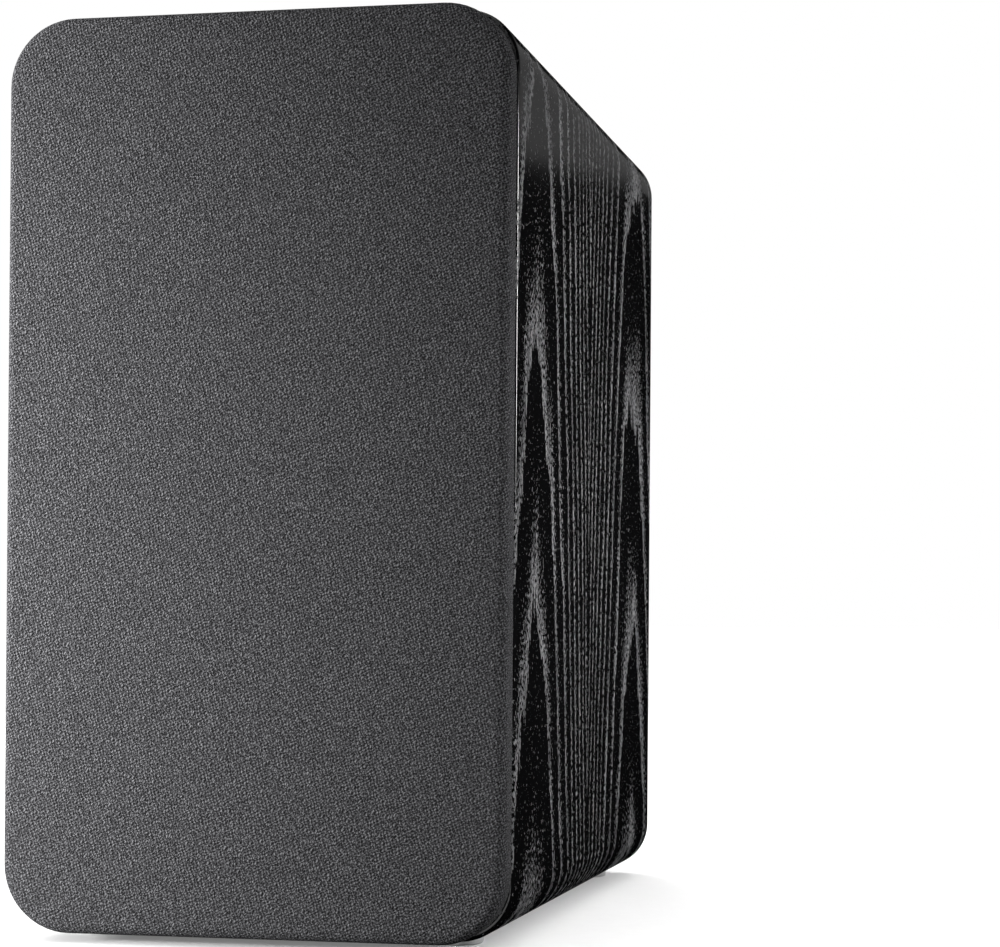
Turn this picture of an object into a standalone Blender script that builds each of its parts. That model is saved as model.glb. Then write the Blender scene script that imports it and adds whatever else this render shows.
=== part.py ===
"""A passive two-way bookshelf loudspeaker with a full-height cloth grille.

The front faces -Y, +X is to the right as seen from the front and +Z is up. The origin is on
the ground, under the middle of the object. Sizes are given in millimetres and the meshes are
turned into metres when they become objects.
"""

import math

import bmesh
import bpy
from mathutils import Vector

MM = 0.001
GAP = 0.3  # kept between pieces that touch

# Driving dimensions
WIDTH = 152.0
HEIGHT = 268.0  # the cabinet, without its feet
DEPTH = 215.0  # from the face of the grille to the rear edge of the cabinet
FOOT_HEIGHT = 2.5
WALL = 12.0
CABINET_RADIUS = 16.0
GRILLE_RADIUS = 20.0
GRILLE_DEPTH = 9.0
GRILLE_SHADOW_GAP = 1.0
WOOFER_ABOVE_BASE = 113.0
TWEETER_ABOVE_BASE = 212.0

# Places that follow from them
BASE_Z = FOOT_HEIGHT
TOP_Z = BASE_Z + HEIGHT
MIDDLE_Z = BASE_Z + HEIGHT / 2
FACE_Y = -DEPTH / 2
REAR_EDGE_Y = DEPTH / 2
GRILLE_BACK_Y = FACE_Y + GRILLE_DEPTH
FRONT_EDGE_Y = GRILLE_BACK_Y + GRILLE_SHADOW_GAP
BAFFLE_RECESS = 2.0
BAFFLE_THICKNESS = 15.0
BAFFLE_Y = FRONT_EDGE_Y + BAFFLE_RECESS
REAR_RECESS = 4.0
REAR_THICKNESS = 12.0
REAR_Y = REAR_EDGE_Y - REAR_RECESS
INNER_WIDTH = WIDTH - 2 * WALL
INNER_HEIGHT = HEIGHT - 2 * WALL
INNER_RADIUS = CABINET_RADIUS - WALL
WOOFER_Z = BASE_Z + WOOFER_ABOVE_BASE
TWEETER_Z = BASE_Z + TWEETER_ABOVE_BASE

# Grille
CLOTH = 0.8
GRILLE_EDGE_RADIUS = 3.2
CLOTH_FLAP = 9.0
FRAME_INSET = CLOTH + GAP
PEG_X = 57.0
PEGS_ABOVE_BASE = (18.0, 248.0)
PEG_RADIUS = 3.2
PEG_LENGTH = 15.0
SOCKET_RADIUS = 4.8
SOCKET_FLANGE_RADIUS = 6.0
SOCKET_DEPTH = 12.0

# Drivers, as radii about their own axes
ROUND = 24  # sides of the large turned pieces
SMALL = 12  # sides of the small ones
WOOFER_RADIUS = 55.0
WOOFER_HOLE_RADIUS = 47.0
WOOFER_REBATE = 5.0
WOOFER_SCREW_CIRCLE = 51.8
TWEETER_RADIUS = 34.0
TWEETER_HOLE_RADIUS = 26.5
TWEETER_REBATE = 3.6
TWEETER_SCREW_CIRCLE = 30.5

# Screws
SCREW_SIDES = 8
SHANK_RADIUS = 1.5
HEAD_RADIUS = 3.1
HEAD_HEIGHT = 1.4
PILOT_RADIUS = 1.9

# Rear panel fittings
PORT_Z = BASE_Z + 203.0
PORT_BORE = 17.0
PORT_NECK = PORT_BORE + 4.6
PORT_LENGTH = 66.0
CUP_Z = BASE_Z + 78.0
CUP_FLANGE = (96.0, 64.0)
CUP_OPENING = (68.0, 38.0)
CUP_WALL = 2.2
CUP_FLANGE_THICKNESS = 1.8
CUP_FLOOR_Y = REAR_Y - 20.4
CUP_FLOOR_THICKNESS = 2.4
CUP_SCREW_X = 42.0
CUP_SCREW_Z = 26.0
POST_X = 9.5
STUD_RADIUS = 2.0
STUD_HOLE_RADIUS = 2.3
BOARD_THICKNESS = 1.6
BOARD_SIZE = (66.0, 36.0)
BOARD_FRONT_Y = CUP_FLOOR_Y - CUP_FLOOR_THICKNESS - GAP
BOARD_Y = BOARD_FRONT_Y - BOARD_THICKNESS

# Feet
FOOT_RADIUS = 7.0
FOOT_X = WIDTH / 2 - 20.0
FOOT_FRONT_Y = FRONT_EDGE_Y + 16.0
FOOT_REAR_Y = REAR_EDGE_Y - 16.0
UPRIGHT = Vector((0, 1, 0)).rotation_difference(Vector((0, 0, 1))).to_matrix()


# ---------------------------------------------------------------- outlines

def fillet(corners, radius, steps=4):
    """The corners of an outline, each turned into an arc of the given radius."""
    points = []
    for index, corner in enumerate(corners):
        corner = Vector(corner)
        before = (Vector(corners[index - 1]) - corner).normalized()
        after = (Vector(corners[(index + 1) % len(corners)]) - corner).normalized()
        half = before.angle(after) / 2
        centre = corner + (before + after).normalized() * radius / math.sin(half)
        start = corner + before * radius / math.tan(half) - centre
        end = corner + after * radius / math.tan(half) - centre
        first = math.atan2(start.y, start.x)
        turn = math.remainder(math.atan2(end.y, end.x) - first, math.tau)
        for step in range(steps + 1):
            angle = first + turn * step / steps
            points.append((centre.x + radius * math.cos(angle), centre.y + radius * math.sin(angle)))
    return points


def rounded_rectangle(width, height, radius, centre_z, steps=4):
    half_x = width / 2
    half_z = height / 2
    corners = [
        (-half_x, centre_z - half_z),
        (half_x, centre_z - half_z),
        (half_x, centre_z + half_z),
        (-half_x, centre_z + half_z),
    ]
    return fillet(corners, radius, steps)


def circle(radius, sides, centre=(0.0, 0.0)):
    angles = [math.tau * index / sides for index in range(sides)]
    return [(centre[0] + radius * math.cos(a), centre[1] + radius * math.sin(a)) for a in angles]


# ---------------------------------------------------------------- solids

def vertex_rows(bm, loops):
    """One row of vertices for each outline, each with its own y."""
    return [[bm.verts.new((x, y, z)) for x, z in outline] for outline, y in loops]


def bridge(bm, rows):
    """Joins each closed row of vertices to the next."""
    for row, following in zip(rows, rows[1:]):
        for index in range(len(row)):
            after = (index + 1) % len(row)
            bm.faces.new((row[index], row[after], following[after], following[index]))


def add_loft(bm, loops, ring=False):
    """Joins outlines of equal length into a closed skin.

    A ring joins the last outline to the first; otherwise both ends are capped.
    """
    rows = vertex_rows(bm, loops)
    bridge(bm, rows)
    if ring:
        bridge(bm, [rows[-1], rows[0]])
    else:
        bm.faces.new(rows[0])
        bm.faces.new(rows[-1])
    return bm


def loft(loops, ring=False):
    return add_loft(bmesh.new(), loops, ring)


def prism(outline, start_y, end_y):
    return loft([(outline, start_y), (outline, end_y)])


def turned(profile, sides=ROUND):
    """Spins (y, radius) points round the Y axis. A profile that starts on the axis also ends there."""
    bm = bmesh.new()
    points = [bm.verts.new((radius, y, 0.0)) for y, radius in profile]
    edges = [bm.edges.new(pair) for pair in zip(points, points[1:])]
    if profile[0][1] > 0:
        edges.append(bm.edges.new((points[-1], points[0])))
    bmesh.ops.spin(
        bm, geom=points + edges, cent=(0, 0, 0), axis=(0, 1, 0), angle=math.tau, steps=sides, use_merge=True
    )
    bmesh.ops.remove_doubles(bm, verts=bm.verts, dist=0.001)
    return bm


def ring_profile(front, back, inner, outer):
    return [(front, inner), (front, outer), (back, outer), (back, inner)]


def skin_profile(front_line, thickness):
    """A sheet that follows (y, radius) points and is as thick as given along Y."""
    return front_line + [(y + thickness, radius) for y, radius in reversed(front_line)]


# ---------------------------------------------------------------- objects

def finish(name, colour, roughness, metallic=0.0):
    material = bpy.data.materials.new(name)
    material.use_nodes = True
    shader = material.node_tree.nodes["Principled BSDF"]
    shader.inputs["Base Color"].default_value = (*colour, 1.0)
    shader.inputs["Roughness"].default_value = roughness
    shader.inputs["Metallic"].default_value = metallic
    return material


def add_object(name, bm, material, place=(0.0, 0.0, 0.0), parent=None):
    """Turns a bmesh in millimetres into an object in metres at its place, also in millimetres."""
    bmesh.ops.recalc_face_normals(bm, faces=bm.faces)
    bmesh.ops.scale(bm, vec=(MM, MM, MM), verts=bm.verts)
    mesh = bpy.data.meshes.new(name)
    bm.to_mesh(mesh)
    bm.free()
    mesh.shade_smooth()
    mesh.set_sharp_from_angle(angle=math.radians(35))
    mesh.materials.append(material)
    obj = bpy.data.objects.new(name, mesh)
    obj.location = Vector(place) * MM
    obj.parent = parent
    bpy.context.collection.objects.link(obj)
    return obj


def add_copy(name, original, place):
    obj = bpy.data.objects.new(name, original.data)
    obj.location = Vector(place) * MM
    obj.parent = original.parent
    bpy.context.collection.objects.link(obj)
    return obj


def add_axis(name, place):
    empty = bpy.data.objects.new(name, None)
    empty.location = Vector(place) * MM
    bpy.context.collection.objects.link(empty)
    return empty


def combine(target, bm, operation):
    """Adds a hidden helper in the target's own frame, and a Boolean that uses it."""
    helper = add_object(target.name + "_" + operation.lower(), bm, target.data.materials[0])
    helper.parent = target.parent
    helper.location = target.location
    helper.hide_render = True
    helper.display_type = "WIRE"
    modifier = target.modifiers.new(operation.title(), "BOOLEAN")
    modifier.operation = operation
    modifier.object = helper


def cut(target, bm):
    combine(target, bm, "DIFFERENCE")


def unite(target, bm):
    combine(target, bm, "UNION")


def round_holes(holes, start_y, end_y, sides=SMALL):
    """One bmesh with a round bar for each (x, z, radius)."""
    bm = bmesh.new()
    for x, z, radius in holes:
        outline = circle(radius, sides, (x, z))
        add_loft(bm, [(outline, start_y), (outline, end_y)])
    return bm


def on_circle(radius, count, first_degrees):
    angles = [math.radians(first_degrees + 360 / count * index) for index in range(count)]
    return [(radius * math.cos(angle), radius * math.sin(angle)) for angle in angles]


def peg_places():
    return [(x, BASE_Z + above) for above in PEGS_ABOVE_BASE for x in (-PEG_X, PEG_X)]


WOOFER_SCREWS = on_circle(WOOFER_SCREW_CIRCLE, 4, 45)
TWEETER_SCREWS = on_circle(TWEETER_SCREW_CIRCLE, 3, 90)
CUP_SCREWS = [(x, z) for z in (-CUP_SCREW_Z, CUP_SCREW_Z) for x in (-CUP_SCREW_X, CUP_SCREW_X)]


# ---------------------------------------------------------------- cabinet

def cabinet_shell():
    """The four wrapped walls: one board folded round into a tube, with eased edges."""
    ease = 1.0

    def outer(inset):
        return rounded_rectangle(
            WIDTH - 2 * inset, HEIGHT - 2 * inset, CABINET_RADIUS - inset, MIDDLE_Z, steps=6
        )

    inner = rounded_rectangle(INNER_WIDTH, INNER_HEIGHT, INNER_RADIUS, MIDDLE_Z, steps=6)
    loops = [
        (inner, FRONT_EDGE_Y),
        (outer(ease), FRONT_EDGE_Y),
        (outer(0), FRONT_EDGE_Y + ease),
        (outer(0), REAR_EDGE_Y - ease),
        (outer(ease), REAR_EDGE_Y),
        (inner, REAR_EDGE_Y),
    ]
    vinyl = finish("black_ash_vinyl", (0.012, 0.012, 0.013), 0.35)
    return add_object("cabinet_shell", loft(loops, ring=True), vinyl)


def inset_panel(name, start_y, end_y, material):
    """A board that fits inside the shell."""
    outline = rounded_rectangle(
        INNER_WIDTH - 2 * GAP, INNER_HEIGHT - 2 * GAP, INNER_RADIUS - GAP, MIDDLE_Z
    )
    return add_object(name, prism(outline, start_y, end_y), material)


def front_baffle():
    """Rebated holes for both drivers, sockets for the grille, and pilot holes for the screws."""
    board = finish("painted_board", (0.015, 0.015, 0.016), 0.6)
    baffle = inset_panel("front_baffle", BAFFLE_Y, BAFFLE_Y + BAFFLE_THICKNESS, board)
    before = BAFFLE_Y - 1
    beyond = BAFFLE_Y + BAFFLE_THICKNESS + 1
    drivers = round_holes(
        [(0, WOOFER_Z, WOOFER_HOLE_RADIUS), (0, TWEETER_Z, TWEETER_HOLE_RADIUS)], before, beyond, ROUND
    )
    cut(baffle, drivers)
    cut(baffle, round_holes([(0, WOOFER_Z, WOOFER_RADIUS + GAP)], before, BAFFLE_Y + WOOFER_REBATE, ROUND))
    cut(baffle, round_holes([(0, TWEETER_Z, TWEETER_RADIUS + GAP)], before, BAFFLE_Y + TWEETER_REBATE, ROUND))
    cut(baffle, round_holes([(x, z, SOCKET_RADIUS + GAP) for x, z in peg_places()], before, beyond))
    flanges = [(x, z, SOCKET_FLANGE_RADIUS + GAP) for x, z in peg_places()]
    cut(baffle, round_holes(flanges, before, BAFFLE_Y + 1.5))
    pilots = [(x, WOOFER_Z + z, PILOT_RADIUS) for x, z in WOOFER_SCREWS]
    pilots += [(x, TWEETER_Z + z, PILOT_RADIUS) for x, z in TWEETER_SCREWS]
    cut(baffle, round_holes(pilots, before, beyond, SCREW_SIDES))
    return baffle


def rear_panel():
    """Holes for the port and the terminal cup, with pilot holes for the cup's screws."""
    board = finish("rear_board", (0.015, 0.015, 0.016), 0.55)
    panel = inset_panel("rear_panel", REAR_Y - REAR_THICKNESS, REAR_Y, board)
    before = REAR_Y - REAR_THICKNESS - 1
    beyond = REAR_Y + 1
    cut(panel, round_holes([(0, PORT_Z, PORT_NECK + GAP)], before, beyond, ROUND))
    hollow = 2 * (CUP_WALL + 0.8)
    outline = rounded_rectangle(CUP_OPENING[0] + hollow, CUP_OPENING[1] + hollow, 6, CUP_Z)
    cut(panel, prism(outline, before, beyond))
    pilots = [(x, CUP_Z + z, PILOT_RADIUS) for x, z in CUP_SCREWS]
    cut(panel, round_holes(pilots, before, beyond, SCREW_SIDES))
    return panel


def foam_lining():
    """Damping foam inside the top and both sides."""
    thickness = 8.0
    reach = INNER_WIDTH / 2 - 0.5
    top = TOP_Z - WALL - 0.5
    bottom = BASE_Z + WALL + 2.0
    corners = [(-reach, bottom), (-reach, top), (reach, top), (reach, bottom)]
    outer = fillet(corners, INNER_RADIUS - 0.5, steps=2)
    inner = reach - thickness
    inside = [(inner, bottom), (inner, top - thickness), (-inner, top - thickness), (-inner, bottom)]
    foam = finish("damping_foam", (0.05, 0.05, 0.055), 0.95)
    return add_object("foam_lining", prism(outer + inside, BAFFLE_Y + 18.0, REAR_Y - 16.0), foam)


def rubber_feet():
    rubber = finish("foot_rubber", (0.35, 0.35, 0.36), 0.8)
    places = [(x, y) for y in (FOOT_FRONT_Y, FOOT_REAR_Y) for x in (-FOOT_X, FOOT_X)]
    top = FOOT_HEIGHT - GAP
    profile = [(0.0, 0.0), (0.0, FOOT_RADIUS - 0.8), (0.6, FOOT_RADIUS), (top, FOOT_RADIUS), (top, 0.0)]
    for number, (x, y) in enumerate(places, 1):
        bm = turned(profile, 16)
        bmesh.ops.rotate(bm, cent=(0, 0, 0), matrix=UPRIGHT, verts=bm.verts)
        add_object(f"foot_{number}", bm, rubber, (x, y, 0))


# ---------------------------------------------------------------- grille

def grille_outline(inset):
    return rounded_rectangle(WIDTH - 2 * inset, HEIGHT - 2 * inset, GRILLE_RADIUS - inset, MIDDLE_Z, steps=6)


def rolled_edge(inset, front_y, radius, steps=3):
    """Outlines that turn a square front edge into a round one, from its side to its face."""
    loops = []
    for step in range(steps + 1):
        angle = math.pi / 2 * step / steps
        shrink = inset + radius * (1 - math.cos(angle))
        loops.append((grille_outline(shrink), front_y + radius * (1 - math.sin(angle))))
    return loops


def grille_frame():
    """A moulded frame. Its window narrows above the woofer, and four pegs stand on its back."""
    front = FACE_Y + FRAME_INSET
    back = GRILLE_BACK_Y - FRAME_INSET
    edge = GRILLE_EDGE_RADIUS - FRAME_INSET
    loops = [(grille_outline(FRAME_INSET), back), *rolled_edge(FRAME_INSET, front, edge)]
    plastic = finish("grille_plastic", (0.02, 0.02, 0.02), 0.5)
    frame = add_object("grille_frame", loft(loops), plastic)
    half = [(59.0, 30.0), (59.0, 165.0), (31.0, 247.0)]
    corners = [(x, BASE_Z + z) for x, z in half] + [(-x, BASE_Z + z) for x, z in reversed(half)]
    cut(frame, prism(fillet(corners, 8.0), front - 1, back + 1))
    pegs = bmesh.new()
    inside = back - 2.0
    tip = back + PEG_LENGTH
    for x, z in peg_places():
        shapes = [(5.0, inside), (5.0, back + 2.0), (PEG_RADIUS, back + 2.0), (PEG_RADIUS, tip - 2)]
        shapes += [(2.0, tip)]
        add_loft(pegs, [(circle(radius, SMALL, (x, z)), y) for radius, y in shapes])
    unite(frame, pegs)
    return frame


def grille_cloth():
    """One sheet stretched over the face and sides and glued down round the back of the frame."""
    back = GRILLE_BACK_Y
    inside = CLOTH
    loops = [
        (grille_outline(CLOTH_FLAP), back),
        (grille_outline(0), back),
        *rolled_edge(0, FACE_Y, GRILLE_EDGE_RADIUS),
    ]
    under = [
        *reversed(rolled_edge(inside, FACE_Y + CLOTH, GRILLE_EDGE_RADIUS - CLOTH)),
        (grille_outline(inside), back - CLOTH),
        (grille_outline(CLOTH_FLAP), back - CLOTH),
    ]
    bm = bmesh.new()
    rows = vertex_rows(bm, loops)
    rows_under = vertex_rows(bm, under)
    for strip in (rows, rows_under, [rows_under[-1], rows[0]]):
        bridge(bm, strip)
    bm.faces.new(rows[-1])
    bm.faces.new(rows_under[0])
    cloth = finish("grille_cloth", (0.09, 0.09, 0.095), 0.9)
    return add_object("grille_cloth", bm, cloth)


def grille_sockets():
    """Cups in the baffle that grip the pegs."""
    rubber = finish("socket_rubber", (0.02, 0.02, 0.02), 0.7)
    bore = PEG_RADIUS + GAP
    profile = [
        (0.0, bore),
        (0.0, SOCKET_FLANGE_RADIUS),
        (1.2, SOCKET_FLANGE_RADIUS),
        (1.2, SOCKET_RADIUS),
        (SOCKET_DEPTH, SOCKET_RADIUS),
        (SOCKET_DEPTH, bore),
    ]
    for number, (x, z) in enumerate(peg_places(), 1):
        add_object(f"grille_socket_{number}", turned(profile, SMALL), rubber, (x, BAFFLE_Y, z))


# ---------------------------------------------------------------- screws

def screw_profile(length, direction=1):
    """A pan head that starts a gap away from y = 0, and its shank on the other side of it."""
    points = [
        (-GAP - HEAD_HEIGHT, 0.0),
        (-GAP - HEAD_HEIGHT, HEAD_RADIUS - 0.8),
        (-GAP - 0.6, HEAD_RADIUS),
        (-GAP, HEAD_RADIUS),
        (-GAP, SHANK_RADIUS),
        (length - 2.0, SHANK_RADIUS),
        (length, 0.0),
    ]
    return [(direction * y, radius) for y, radius in points]


def screws(name, places, y, length, direction=1):
    steel = finish(name, (0.03, 0.03, 0.03), 0.4, 1.0)
    first = None
    for number, (x, z) in enumerate(places, 1):
        if first is None:
            bm = turned(screw_profile(length, direction), SCREW_SIDES)
            first = add_object(f"{name}_{number}", bm, steel, (x, y, z))
        else:
            add_copy(f"{name}_{number}", first, (x, y, z))


# ---------------------------------------------------------------- woofer
# Profiles run along the woofer's own axis: y counts back from the baffle's face.

MOTOR_Y = 34.3  # front of the woofer's top plate
CONE_LINE = [(2.4, 36.2), (4.8, 31.0), (7.8, 26.0), (11.4, 20.0), (15.6, 14.6), (17.0, 13.3)]


def woofer_basket(axis):
    """A pressed steel frame: flange, four spokes, a shelf for the spider, and a seat for the motor."""
    profile = [
        (2.6, 44.6),
        (2.6, WOOFER_RADIUS),
        (4.7, WOOFER_RADIUS),
        (4.7, 46.2),
        (22.0, 34.0),
        (24.0, 31.5),
        (34.0, 31.5),
        (34.0, 15.0),
        (32.6, 15.0),
        (32.6, 30.0),
        (25.6, 30.0),
        (25.6, 27.0),
        (24.2, 27.0),
        (24.2, 30.6),
        (22.0, 32.4),
        (4.2, 44.6),
    ]
    steel = finish("basket_steel", (0.03, 0.03, 0.03), 0.5, 0.6)
    basket = add_object("woofer_basket", turned(profile), steel, parent=axis)
    half = 19.0
    for turn in (45, 135):
        across = prism([(-60, -half), (60, -half), (60, half), (-60, half)], 8.0, 21.0)
        spin = Vector((1, 0, 0)).rotation_difference(
            Vector((math.cos(math.radians(turn)), 0, math.sin(math.radians(turn))))
        )
        bmesh.ops.rotate(across, cent=(0, 0, 0), matrix=spin.to_matrix(), verts=across.verts)
        cut(basket, across)
    cut(basket, round_holes([(x, z, PILOT_RADIUS) for x, z in WOOFER_SCREWS], 1.0, 6.0, SCREW_SIDES))
    return basket


def woofer_gasket(axis):
    """The trim ring that clamps the edge of the surround."""
    profile = [
        (0.0, 47.8),
        (0.0, WOOFER_RADIUS),
        (2.3, WOOFER_RADIUS),
        (2.3, 49.4),
        (1.2, 49.4),
        (1.2, 47.8),
    ]
    rubber = finish("gasket_rubber", (0.02, 0.02, 0.02), 0.6)
    gasket = add_object("woofer_gasket", turned(profile), rubber, parent=axis)
    cut(gasket, round_holes([(x, z, PILOT_RADIUS) for x, z in WOOFER_SCREWS], -1.0, 4.0, SCREW_SIDES))


def woofer_surround(axis):
    """A half roll between the cone and the basket."""
    roll = 5.0
    middle = 41.6
    line = [(1.6, 49.0)]
    for step in range(7):
        angle = math.pi * step / 6
        line.append((1.6 - roll * math.sin(angle), middle + roll * math.cos(angle)))
    rubber = finish("surround_rubber", (0.015, 0.015, 0.015), 0.55)
    add_object("woofer_surround", turned(skin_profile(line, 0.7)), rubber, parent=axis)


def woofer_cone(axis):
    paper = finish("cone_paper", (0.03, 0.03, 0.032), 0.8)
    add_object("woofer_cone", turned(skin_profile(CONE_LINE, 0.9)), paper, parent=axis)


def woofer_dust_cap(axis):
    """A shallow dome over the voice coil."""
    base = 13.0
    height = 5.0
    radius = 16.3
    front = []
    back = []
    for step in range(6):
        share = step / 5
        front.append((base - height * (1 - share**2), radius * share))
        back.append((base + 0.6 - height * (1 - share**2), radius * share))
    paper = finish("dust_cap_paper", (0.025, 0.025, 0.026), 0.6)
    add_object("woofer_dust_cap", turned(front + back[::-1]), paper, parent=axis)


def woofer_spider(axis):
    """The corrugated disc that centres the voice coil."""
    inner = 13.4
    outer = 27.0
    waves = 2.5
    steps = 10
    line = [(23.2, 30.2)]
    for step in range(steps + 1):
        share = step / steps
        radius = outer + (inner - outer) * share
        line.append((23.2 - 1.1 * math.sin(math.tau * waves * share), radius))
    cloth = finish("spider_cloth", (0.55, 0.38, 0.15), 0.9)
    add_object("woofer_spider", turned(skin_profile(line, 0.6)), cloth, parent=axis)


def woofer_voice_coil(axis):
    """A paper former with copper wound on its rear half."""
    profile = [
        (15.6, 12.4),
        (15.6, 12.9),
        (31.8, 12.9),
        (31.8, 13.4),
        (40.8, 13.4),
        (40.8, 12.9),
        (41.6, 12.9),
        (41.6, 12.4),
    ]
    copper = finish("voice_coil_copper", (0.7, 0.3, 0.12), 0.35, 1.0)
    add_object("woofer_voice_coil", turned(profile), copper, parent=axis)


def woofer_motor(axis):
    """Top plate, ring magnet, and a yoke whose pole fills the voice coil."""
    plated = finish("plated_steel", (0.5, 0.48, 0.42), 0.35, 1.0)
    ferrite = finish("ferrite", (0.03, 0.03, 0.03), 0.6)
    plate = 4.0
    magnet = 14.0
    magnet_y = MOTOR_Y + plate + GAP
    yoke_y = magnet_y + magnet + GAP
    top = turned(ring_profile(MOTOR_Y, MOTOR_Y + plate, 14.0, 31.0))
    add_object("woofer_top_plate", top, plated, parent=axis)
    ring = turned(ring_profile(magnet_y, magnet_y + magnet, 18.0, 34.0))
    add_object("woofer_magnet", ring, ferrite, parent=axis)
    pole = 11.9
    yoke = [(MOTOR_Y, 0.0), (MOTOR_Y, pole), (yoke_y, pole), (yoke_y, 31.0)]
    yoke += [(yoke_y + 4.5, 31.0), (yoke_y + 4.5, 0.0)]
    add_object("woofer_yoke", turned(yoke), plated, parent=axis)


def woofer_terminal_strip(axis):
    """A small board on the basket with two solder lugs."""
    foot = 31.9
    board = foot + 1.3
    lug = board + 4.3
    outline = [(-8.0, foot), (8.0, foot), (8.0, board)]
    for near, far in ((6.5, 3.5), (-3.5, -6.5)):
        outline += [(near, board), (near, lug), (far, lug), (far, board)]
    outline += [(-8.0, board)]
    brass = finish("terminal_brass", (0.6, 0.45, 0.2), 0.4, 1.0)
    add_object("woofer_terminal_strip", prism(outline, 28.0, 33.0), brass, parent=axis)


def lead(name, points, radius, material, parent=None):
    """A wire along a smooth line through the given points."""
    smooth = []
    count = len(points)
    for index in range(count - 1):
        nearby = [Vector(points[min(max(index + offset, 0), count - 1)]) for offset in (-1, 0, 1, 2)]
        for step in range(2):
            smooth.append(between(nearby, step / 2))
    smooth.append(Vector(points[-1]))
    curve = bpy.data.curves.new(name, "CURVE")
    curve.dimensions = "3D"
    curve.bevel_depth = radius * MM
    curve.bevel_resolution = 2
    curve.use_fill_caps = True
    spline = curve.splines.new("POLY")
    spline.points.add(len(smooth) - 1)
    for point, place in zip(spline.points, smooth):
        point.co = (*(place * MM), 1.0)
    curve.materials.append(material)
    obj = bpy.data.objects.new(name, curve)
    obj.parent = parent
    bpy.context.collection.objects.link(obj)


def between(nearby, share):
    """A point between the two middle ones of four, on the Catmull-Rom curve through them."""
    first, start, end, last = nearby
    slope_in = (end - first) / 2
    slope_out = (last - start) / 2
    cube = (start - end) * 2 + slope_in + slope_out
    square = (end - start) * 3 - slope_in * 2 - slope_out
    return cube * share**3 + square * share**2 + slope_in * share + start


TINSEL_ROUTE = [
    (8.0, 12.6, 21.0),
    (10.0, 16.0, 27.0),
    (13.0, 18.5, 35.0),
    (14.0, 21.5, 42.0),
    (12.0, 27.0, 43.0),
    (7.5, 30.5, 40.5),
    (5.3, 30.5, 38.6),
]


def tinsel_leads(axis):
    """Braided leads from the back of the cone, out through a basket window, to the lugs."""
    braid = finish("tinsel_braid", (0.7, 0.4, 0.2), 0.4, 1.0)
    for number, side in enumerate((-1, 1), 1):
        route = [(side * x, y, z) for x, y, z in TINSEL_ROUTE]
        lead(f"tinsel_lead_{number}", route, 0.6, braid, axis)


# ---------------------------------------------------------------- tweeter
# Profiles run along the tweeter's own axis: y counts back from the baffle's face.

def tweeter_faceplate(axis):
    """A moulded plate with a shallow waveguide round the dome."""
    throat = 14.6
    profile = [
        (0.0, TWEETER_RADIUS),
        (0.0, 25.0),
        (1.2, 19.0),
        (3.0, throat),
        (4.2, throat),
        (4.2, 26.0),
        (3.3, 26.0),
        (3.3, TWEETER_RADIUS),
    ]
    plastic = finish("faceplate_plastic", (0.02, 0.02, 0.021), 0.45)
    faceplate = add_object("tweeter_faceplate", turned(profile), plastic, parent=axis)
    holes = [(x, z, PILOT_RADIUS) for x, z in TWEETER_SCREWS]
    cut(faceplate, round_holes(holes, -1.0, 5.0, SCREW_SIDES))


def tweeter_diaphragm(axis):
    """One piece of coated silk: the dome, its small half roll, and the clamped rim."""
    line = [(4.5, 18.0), (4.5, 14.2), (3.8, 13.4), (4.5, 12.5)]
    line += [(3.0, 11.2), (1.7, 8.6), (0.9, 5.0), (0.6, 0.0)]
    thickness = 0.45
    front = line[::-1]
    profile = front + [(y + thickness, radius) for y, radius in line]
    silk = finish("dome_silk", (0.02, 0.02, 0.022), 0.5)
    add_object("tweeter_diaphragm", turned(profile), silk, parent=axis)


def tweeter_motor(axis):
    """Voice coil, top plate, ring magnet and yoke."""
    copper = finish("tweeter_coil_copper", (0.7, 0.3, 0.12), 0.35, 1.0)
    plated = finish("tweeter_plated_steel", (0.5, 0.48, 0.42), 0.35, 1.0)
    ferrite = finish("tweeter_ferrite", (0.03, 0.03, 0.03), 0.6)
    add_object("tweeter_voice_coil", turned(ring_profile(5.4, 9.4, 11.8, 12.5)), copper, parent=axis)
    rim = 25.5
    add_object("tweeter_top_plate", turned(ring_profile(5.3, 8.3, 13.1, rim)), plated, parent=axis)
    add_object("tweeter_magnet", turned(ring_profile(8.6, 16.6, 15.0, rim)), ferrite, parent=axis)
    pole = 11.2
    yoke = [(5.6, 0.0), (5.6, pole), (16.9, pole), (16.9, rim), (20.0, rim), (20.0, 0.0)]
    add_object("tweeter_yoke", turned(yoke), plated, parent=axis)


# ---------------------------------------------------------------- rear fittings

def port_tube():
    """A bass reflex tube with a flared mouth in the rear panel. y counts forward from its face."""
    wall = 2.0
    mouth = PORT_BORE + 7.0
    flange = 27.0
    profile = [
        (-GAP, flange),
        (-2.0, flange - 0.6),
        (-2.3, mouth + 0.6),
        (-1.9, mouth),
        (1.5, mouth - 3.6),
        (6.0, PORT_BORE + 0.8),
        (12.0, PORT_BORE),
        (PORT_LENGTH, PORT_BORE),
        (PORT_LENGTH, PORT_BORE + wall),
        (8.0, PORT_BORE + wall),
        (-GAP, PORT_NECK),
    ]
    line = [(-y, radius) for y, radius in profile]
    plastic = finish("port_plastic", (0.015, 0.015, 0.015), 0.5)
    port = turned(line)
    return add_object("port_tube", port, plastic, (0, REAR_Y, PORT_Z))


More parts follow.
